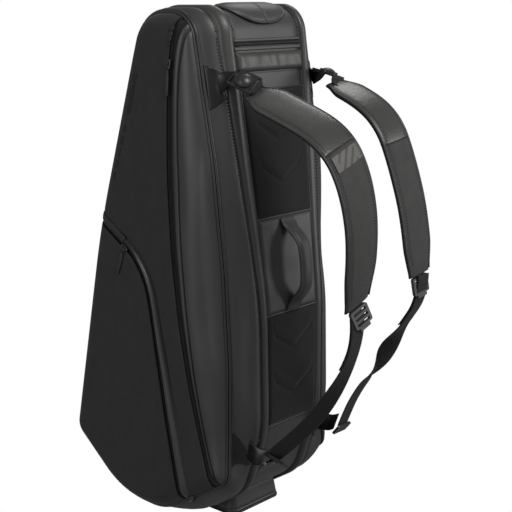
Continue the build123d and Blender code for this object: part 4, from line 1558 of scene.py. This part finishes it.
def buckle_webs(side):
    """The short webs that hold the buckle: one from the anchor patch, one to the pad."""
    centre = np.array(BUCKLE_CENTRE[side], float)
    normal = unit(np.array(BUCKLE_NORMAL[side], float))
    along = np.array([0, -1.0, 0])
    along = unit(along - normal * (along @ normal))
    wide = np.cross(normal, along)
    start = on_body(back_index(np.array([671.0])), np.array([SIGN[side] * 103.0]), 0.2)[0]
    near = centre - along * BUCKLE_HALF + normal * 1.0
    web_path = soft_curve(np.array([start, start * 0.6 + near * 0.4 + normal * 2.0, near]), 24)
    rise = np.array([0, 0.5, 0.87])
    turn = smooth_step(np.linspace(0, 1, 24))[:, None]
    web_axes = unit(rise * (1 - turn) + wide * np.sign(wide @ rise) * turn)
    link = flat_ribbon(f"{side}_anchor_web", web_path, web_axes, 27, 2.6, PATCH)
    woven_sheet(web_path)
    placed(start)
    placed(near)
    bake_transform(link)
    far = centre + along * BUCKLE_HALF + normal * 1.2
    strap_middle = strap_frame(side, PAD_POINTS)[0]
    run = soft_curve(np.array([far, far + along * 5, strap_middle[2], strap_middle[9]]), 24)
    join_web = flat_ribbon(f"{side}_buckle_web", run, np.tile(wide, (24, 1)), WEB_WIDTH, 3.2, WEBBING)
    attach(join_web, f"{side}_strap")
    woven_sheet(run)


def lower_tab(side):
    low_rows = np.linspace(98, 160, 20)

    def folds(u):
        return 1.5 + 0.7 * np.sin(low_rows[:, None] / 5 + u * 8) * np.sin(math.pi * u)

    gusset_patch(f"{side}_lower_patch", f"{side}_lower_tab", side, np.linspace(104, 138, 20), low_rows, folds)


def lower_flap(side):
    """The loose cloth that runs from the lower tab to the triglide."""
    sign = SIGN[side]
    t = np.linspace(0, 1, 24)[:, None]
    high_edge = np.array([sign * 90.0, -158.0, 136.0])
    low_edge = np.array([sign * 90.0, -153.0, 106.0])
    tip = np.array(TRIGLIDE_PLACE[side]) - np.array([0, -8, -7])
    tip_wide = np.array([0.55, 0, 0.84]) * 13
    high_side = high_edge * (1 - t) + (tip + tip_wide) * t
    low_side = low_edge * (1 - t) + (tip - tip_wide) * t
    v = np.linspace(0, 1, 12)[None, :, None]
    points = high_side[:, None] * (1 - v) + low_side[:, None] * v
    points[..., 2] -= 3 * np.sin(math.pi * t)
    points[..., 1] -= 1.6 * np.sin(math.pi * t) * np.sin(9 * v[..., 0])
    flap = grid_object(f"{side}_lower_flap", points, [PATCH], outward=(sign, -0.3, 0), thickness=1.6 * MM)
    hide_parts(f"{side}_lower_anchor")
    placed((sign * 114.5, -146, 130))
    placed((sign * 114.5, -158, 130))
    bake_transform(flap)


def build_anchors(side):
    upper_anchor(side)
    buckle_webs(side)
    lower_tab(side)
    lower_flap(side)


def softened(node, made, width, segments=3):
    """A CAD piece shown as it is, with its edges rounded."""
    piece = frame["nodes"][node]
    piece.data.materials.clear()
    piece.data.materials.append(made)
    bevel = piece.modifiers.new("edges", "BEVEL")
    bevel.width = width * MM
    bevel.segments = segments
    bevel.limit_method = "ANGLE"
    bevel.angle_limit = math.radians(35)
    bevel.harden_normals = False
    piece.data.polygons.foreach_set("use_smooth", [True] * len(piece.data.polygons))


def build_hardware(side):
    softened(f"{side}_buckle", BUCKLE, 0.6)
    softened(f"{side}_buckle_button", BUTTON, 0.3)
    softened(f"{side}_ladder_lock", LOCK, 0.8)
    softened(f"{side}_triglide", BUCKLE, 0.7)


def slider_frame(kind, directions, side):
    """Turns (along, across, out) of a zip slider into points on the side face."""
    along = np.array([0, *directions[kind]])
    across = np.array([0, -along[2], along[1]])
    start = np.array([-SLIDER_BASES[kind], *SLIDER_PLACES[kind]])

    def world_point(local):
        local = np.asarray(local, float)
        point = (start + local[..., :1] * along + local[..., 1:2] * across
                 + local[..., 2:3] * np.array([-1.0, 0, 0]))
        return mirrored(point, side)
    return world_point


def outline_plate(name, place, outline_points, low, high, made, roll=0.5):
    """A moulded plate with rounded rims, from its outline and two levels."""
    outline_points = np.asarray(outline_points, float)
    centre = outline_points.mean(0)
    reach = np.linalg.norm(outline_points - centre, axis=1, keepdims=True)
    levels = [(low, -roll), (low + roll * 0.3, -roll * 0.3), (low + roll, 0), (high - roll, 0),
              (high - roll * 0.3, -roll * 0.3), (high, -roll), (high, -reach.max() * 0.45)]
    rings = []
    for level, shrink in levels:
        ring = centre + (outline_points - centre) * np.clip(1 + shrink / reach, 0.15, 1)
        rings.append(place(np.concatenate([ring, np.full((len(ring), 1), level)], 1)))
    return closed_sweep(name, rings, [made])


def slider_outline(count=40):
    """A zip slider seen from above: broad at its nose, drawn in at its waist."""
    t = np.linspace(-1, 1, count)
    half = 4.4 * (1 - 0.22 * smooth_step((t + 0.1) / 0.9)) * (1 - np.abs(t) ** 8) ** 0.5
    upper = np.stack([t * 7.9, half], 1)
    return np.concatenate([upper, upper[::-1][1:-1] * (1, -1)])


def pull_outline(count=60):
    """A pull tab seen from above: a narrow neck, then a blade with a round end."""
    t = np.linspace(0, 1, count)
    blade = 3.4 - 1.3 * (1 - smooth_step((t - 0.08) / 0.22))
    round_end = np.sqrt(np.clip(1 - ((t - 0.93) / 0.07).clip(0, 1) ** 2, 0, 1))
    half = blade * round_end * np.sqrt(np.clip(t / 0.03, 0, 1))
    upper = np.stack([PULL_START + t * PULL_LENGTH, half], 1)
    return np.concatenate([upper, upper[::-1][1:-1] * (1, -1)])


def build_sliders(side):
    for kind in ("main", "pocket"):
        place = slider_frame(kind, SLIDER_DIRECTIONS, side)
        name = f"{side}_{kind}"
        body = outline_plate(f"{name}_slider_body", place, slider_outline(), 0.0, 2.3, SLIDER, roll=0.6)
        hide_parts(f"{name}_slider")
        turn = np.linspace(0, math.pi, 20)
        arch = np.stack([-4.6 * np.cos(turn), np.zeros(20), 1.8 + 2.2 * np.sin(turn) ** 0.6], 1)
        bridge = tube(f"{name}_bridge", place(arch), 0.75, SLIDER, sides=8)
        place = slider_frame(kind, PULL_DIRECTIONS, side)
        tab = outline_plate(f"{name}_tab", place, pull_outline(), 1.6, 3.8, PULL, roll=0.7)
        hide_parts(f"{name}_pull")
        ring_turn = np.linspace(0, 2 * math.pi, 28, endpoint=False)
        ring = np.stack([6.6 + 3.4 * np.cos(ring_turn), 2.1 * np.sin(ring_turn), np.full(28, 2.9)], 1)
        link = tube(f"{name}_link", place(ring), 0.6, SLIDER, sides=8, closed=True, up=(1, 0, 0))
        for piece in (body, bridge, link):
            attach(piece, f"{side}_{kind}_slider")
        groove = np.stack([np.linspace(20, 41, 20), np.zeros(20), np.full(20, 3.7)], 1)
        rib = tube(f"{name}_tab_rib", place(groove), 0.7, PULL, sides=8)
        for piece in (tab, rib):
            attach(piece, f"{side}_{kind}_pull")


def foot_loop(grow):
    """The foot's rounded rectangle, grown outwards, as (x, y) points."""
    wide, long = FOOT_HALF + grow, FOOT_HALF_LENGTH + grow
    corners = [(-wide, -long), (-wide, long), (wide, long), (wide, -long)]
    radius = FOOT_CORNER + grow
    return rounded_loop(corners, [radius] * 4, [(10, 40), (10, 24), (10, 40), (10, 24)])


def stacked(name, levels, materials):
    """A block through rounded rectangles: (z, growth) from the top down."""
    rings = []
    for z, grow in levels:
        loop = foot_loop(grow)
        rings.append(np.concatenate([loop, np.full((len(loop), 1), z)], 1))
    return closed_sweep(name, rings, materials)


def build_foot():
    block = stacked("foot_block", [(31, -7), (12, -4.5), (-4, -1.6), (-8.5, -0.6), (-9.2, -1.4), (-10, -1.4),
                                   (-10.6, -0.4), (-12.4, 0)], [COATED])
    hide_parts("foot")
    sole = stacked("sole_block", [(-12.5, 0), (-12.7, 0.9), (-14.0, 1.2), (-14.3, 0.6), (-14.7, 0.6),
                                  (-15.0, 1.2), (-16.4, 0.8), (-17.0, -0.2)], [RUBBER])
    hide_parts("foot_sole")
    pieces = [block, sole]
    for number, y in enumerate(np.linspace(-RIB_SPREAD, RIB_SPREAD, SOLE_RIBS)):
        path = np.stack([np.linspace(-RIB_REACH, RIB_REACH, 12), np.full(12, y), np.full(12, -16.6)], 1)
        pieces.append(tube(f"sole_rib_{number}", path, 1.6, RUBBER, sides=8, up=(0, 0, 1)))
    for piece in pieces:
        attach(piece, "root")


def build_divider():
    """The padded wall between the compartments, quilted across."""
    edge = panel_loop - panel_normals * 5.4
    centre = edge.mean(0)
    shares = np.array([0.02, 0.15, 0.3, 0.45, 0.6, 0.72, 0.82, 0.9, 0.95, 0.98, 1.0])
    rings = []
    for sign, order in ((-1, shares), (1, shares[::-1][1:])):
        for share in order:
            loop = centre + (edge - centre) * share
            rolled = np.sqrt(np.clip(1 - ((share - 0.94) / 0.06).clip(0, 1) ** 2, 0, 1))
            quilt = 1.3 * np.exp(-(((loop[:, 1] % 90) - 45) / 5) ** 2)
            x = sign * np.maximum((4.0 - quilt) * rolled, 0)
            rings.append(np.concatenate([x[:, None], loop], 1))
    wall = closed_sweep("divider_wall", rings, [LINING])
    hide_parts("divider")
    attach(wall, "root")
    softened("back_board", BOARD, 0.4)


build_back()
build_handles()
build_foot()
build_divider()
for side in ("left", "right"):
    build_webbing(side, build_strap(side))
    build_anchors(side)
    build_hardware(side)
    build_sliders(side)


# ---- camera and light ---------------------------------------------------------------------------

def camera():
    data = bpy.data.cameras.new("camera")
    data.lens = CAMERA_LENS
    data.sensor_width = 36
    data.clip_start = 0.05
    made = bpy.data.objects.new("camera", data)
    bpy.context.scene.collection.objects.link(made)
    azimuth, elevation = math.radians(CAMERA_SIDE), math.radians(CAMERA_RISE)
    back = Vector((math.sin(azimuth) * math.cos(elevation), -math.cos(azimuth) * math.cos(elevation),
                   math.sin(elevation)))
    made.location = Vector(placed(CAMERA_AIM)) + back * CAMERA_FAR
    made.rotation_mode = "QUATERNION"
    made.rotation_quaternion = (-back).to_track_quat("-Z", "Y")
    bpy.context.scene.camera = made


def world():
    made = bpy.data.worlds.new("studio")
    bpy.context.scene.world = made
    made.use_nodes = True
    tree = made.node_tree
    tree.nodes.clear()
    out = tree.nodes.new("ShaderNodeOutputWorld")
    path = tree.nodes.new("ShaderNodeLightPath")
    mix = tree.nodes.new("ShaderNodeMixShader")
    tree.links.new(path.outputs["Is Camera Ray"], mix.inputs["Fac"])
    for number, strength in ((1, WORLD_LIGHT), (2, 1.0)):
        white = tree.nodes.new("ShaderNodeBackground")
        white.inputs["Color"].default_value = (1, 1, 1, 1)
        white.inputs["Strength"].default_value = strength
        tree.links.new(white.outputs["Background"], mix.inputs[number])
    tree.links.new(mix.outputs["Shader"], out.inputs["Surface"])


def softbox(name, place, aim, width, height, power):
    data = bpy.data.lights.new(name, "AREA")
    data.shape = "RECTANGLE"
    data.size = width
    data.size_y = height
    data.energy = power
    made = bpy.data.objects.new(name, data)
    bpy.context.scene.collection.objects.link(made)
    made.location = place
    made.rotation_mode = "QUATERNION"
    made.rotation_quaternion = (Vector(aim) - Vector(place)).to_track_quat("-Z", "Y")


camera()
world()
for box in SOFTBOXES:
    softbox(*box)

for name, kind in (("view_transform", "Standard"), ("look", "None")):
    setattr(bpy.context.scene.view_settings, name, kind)
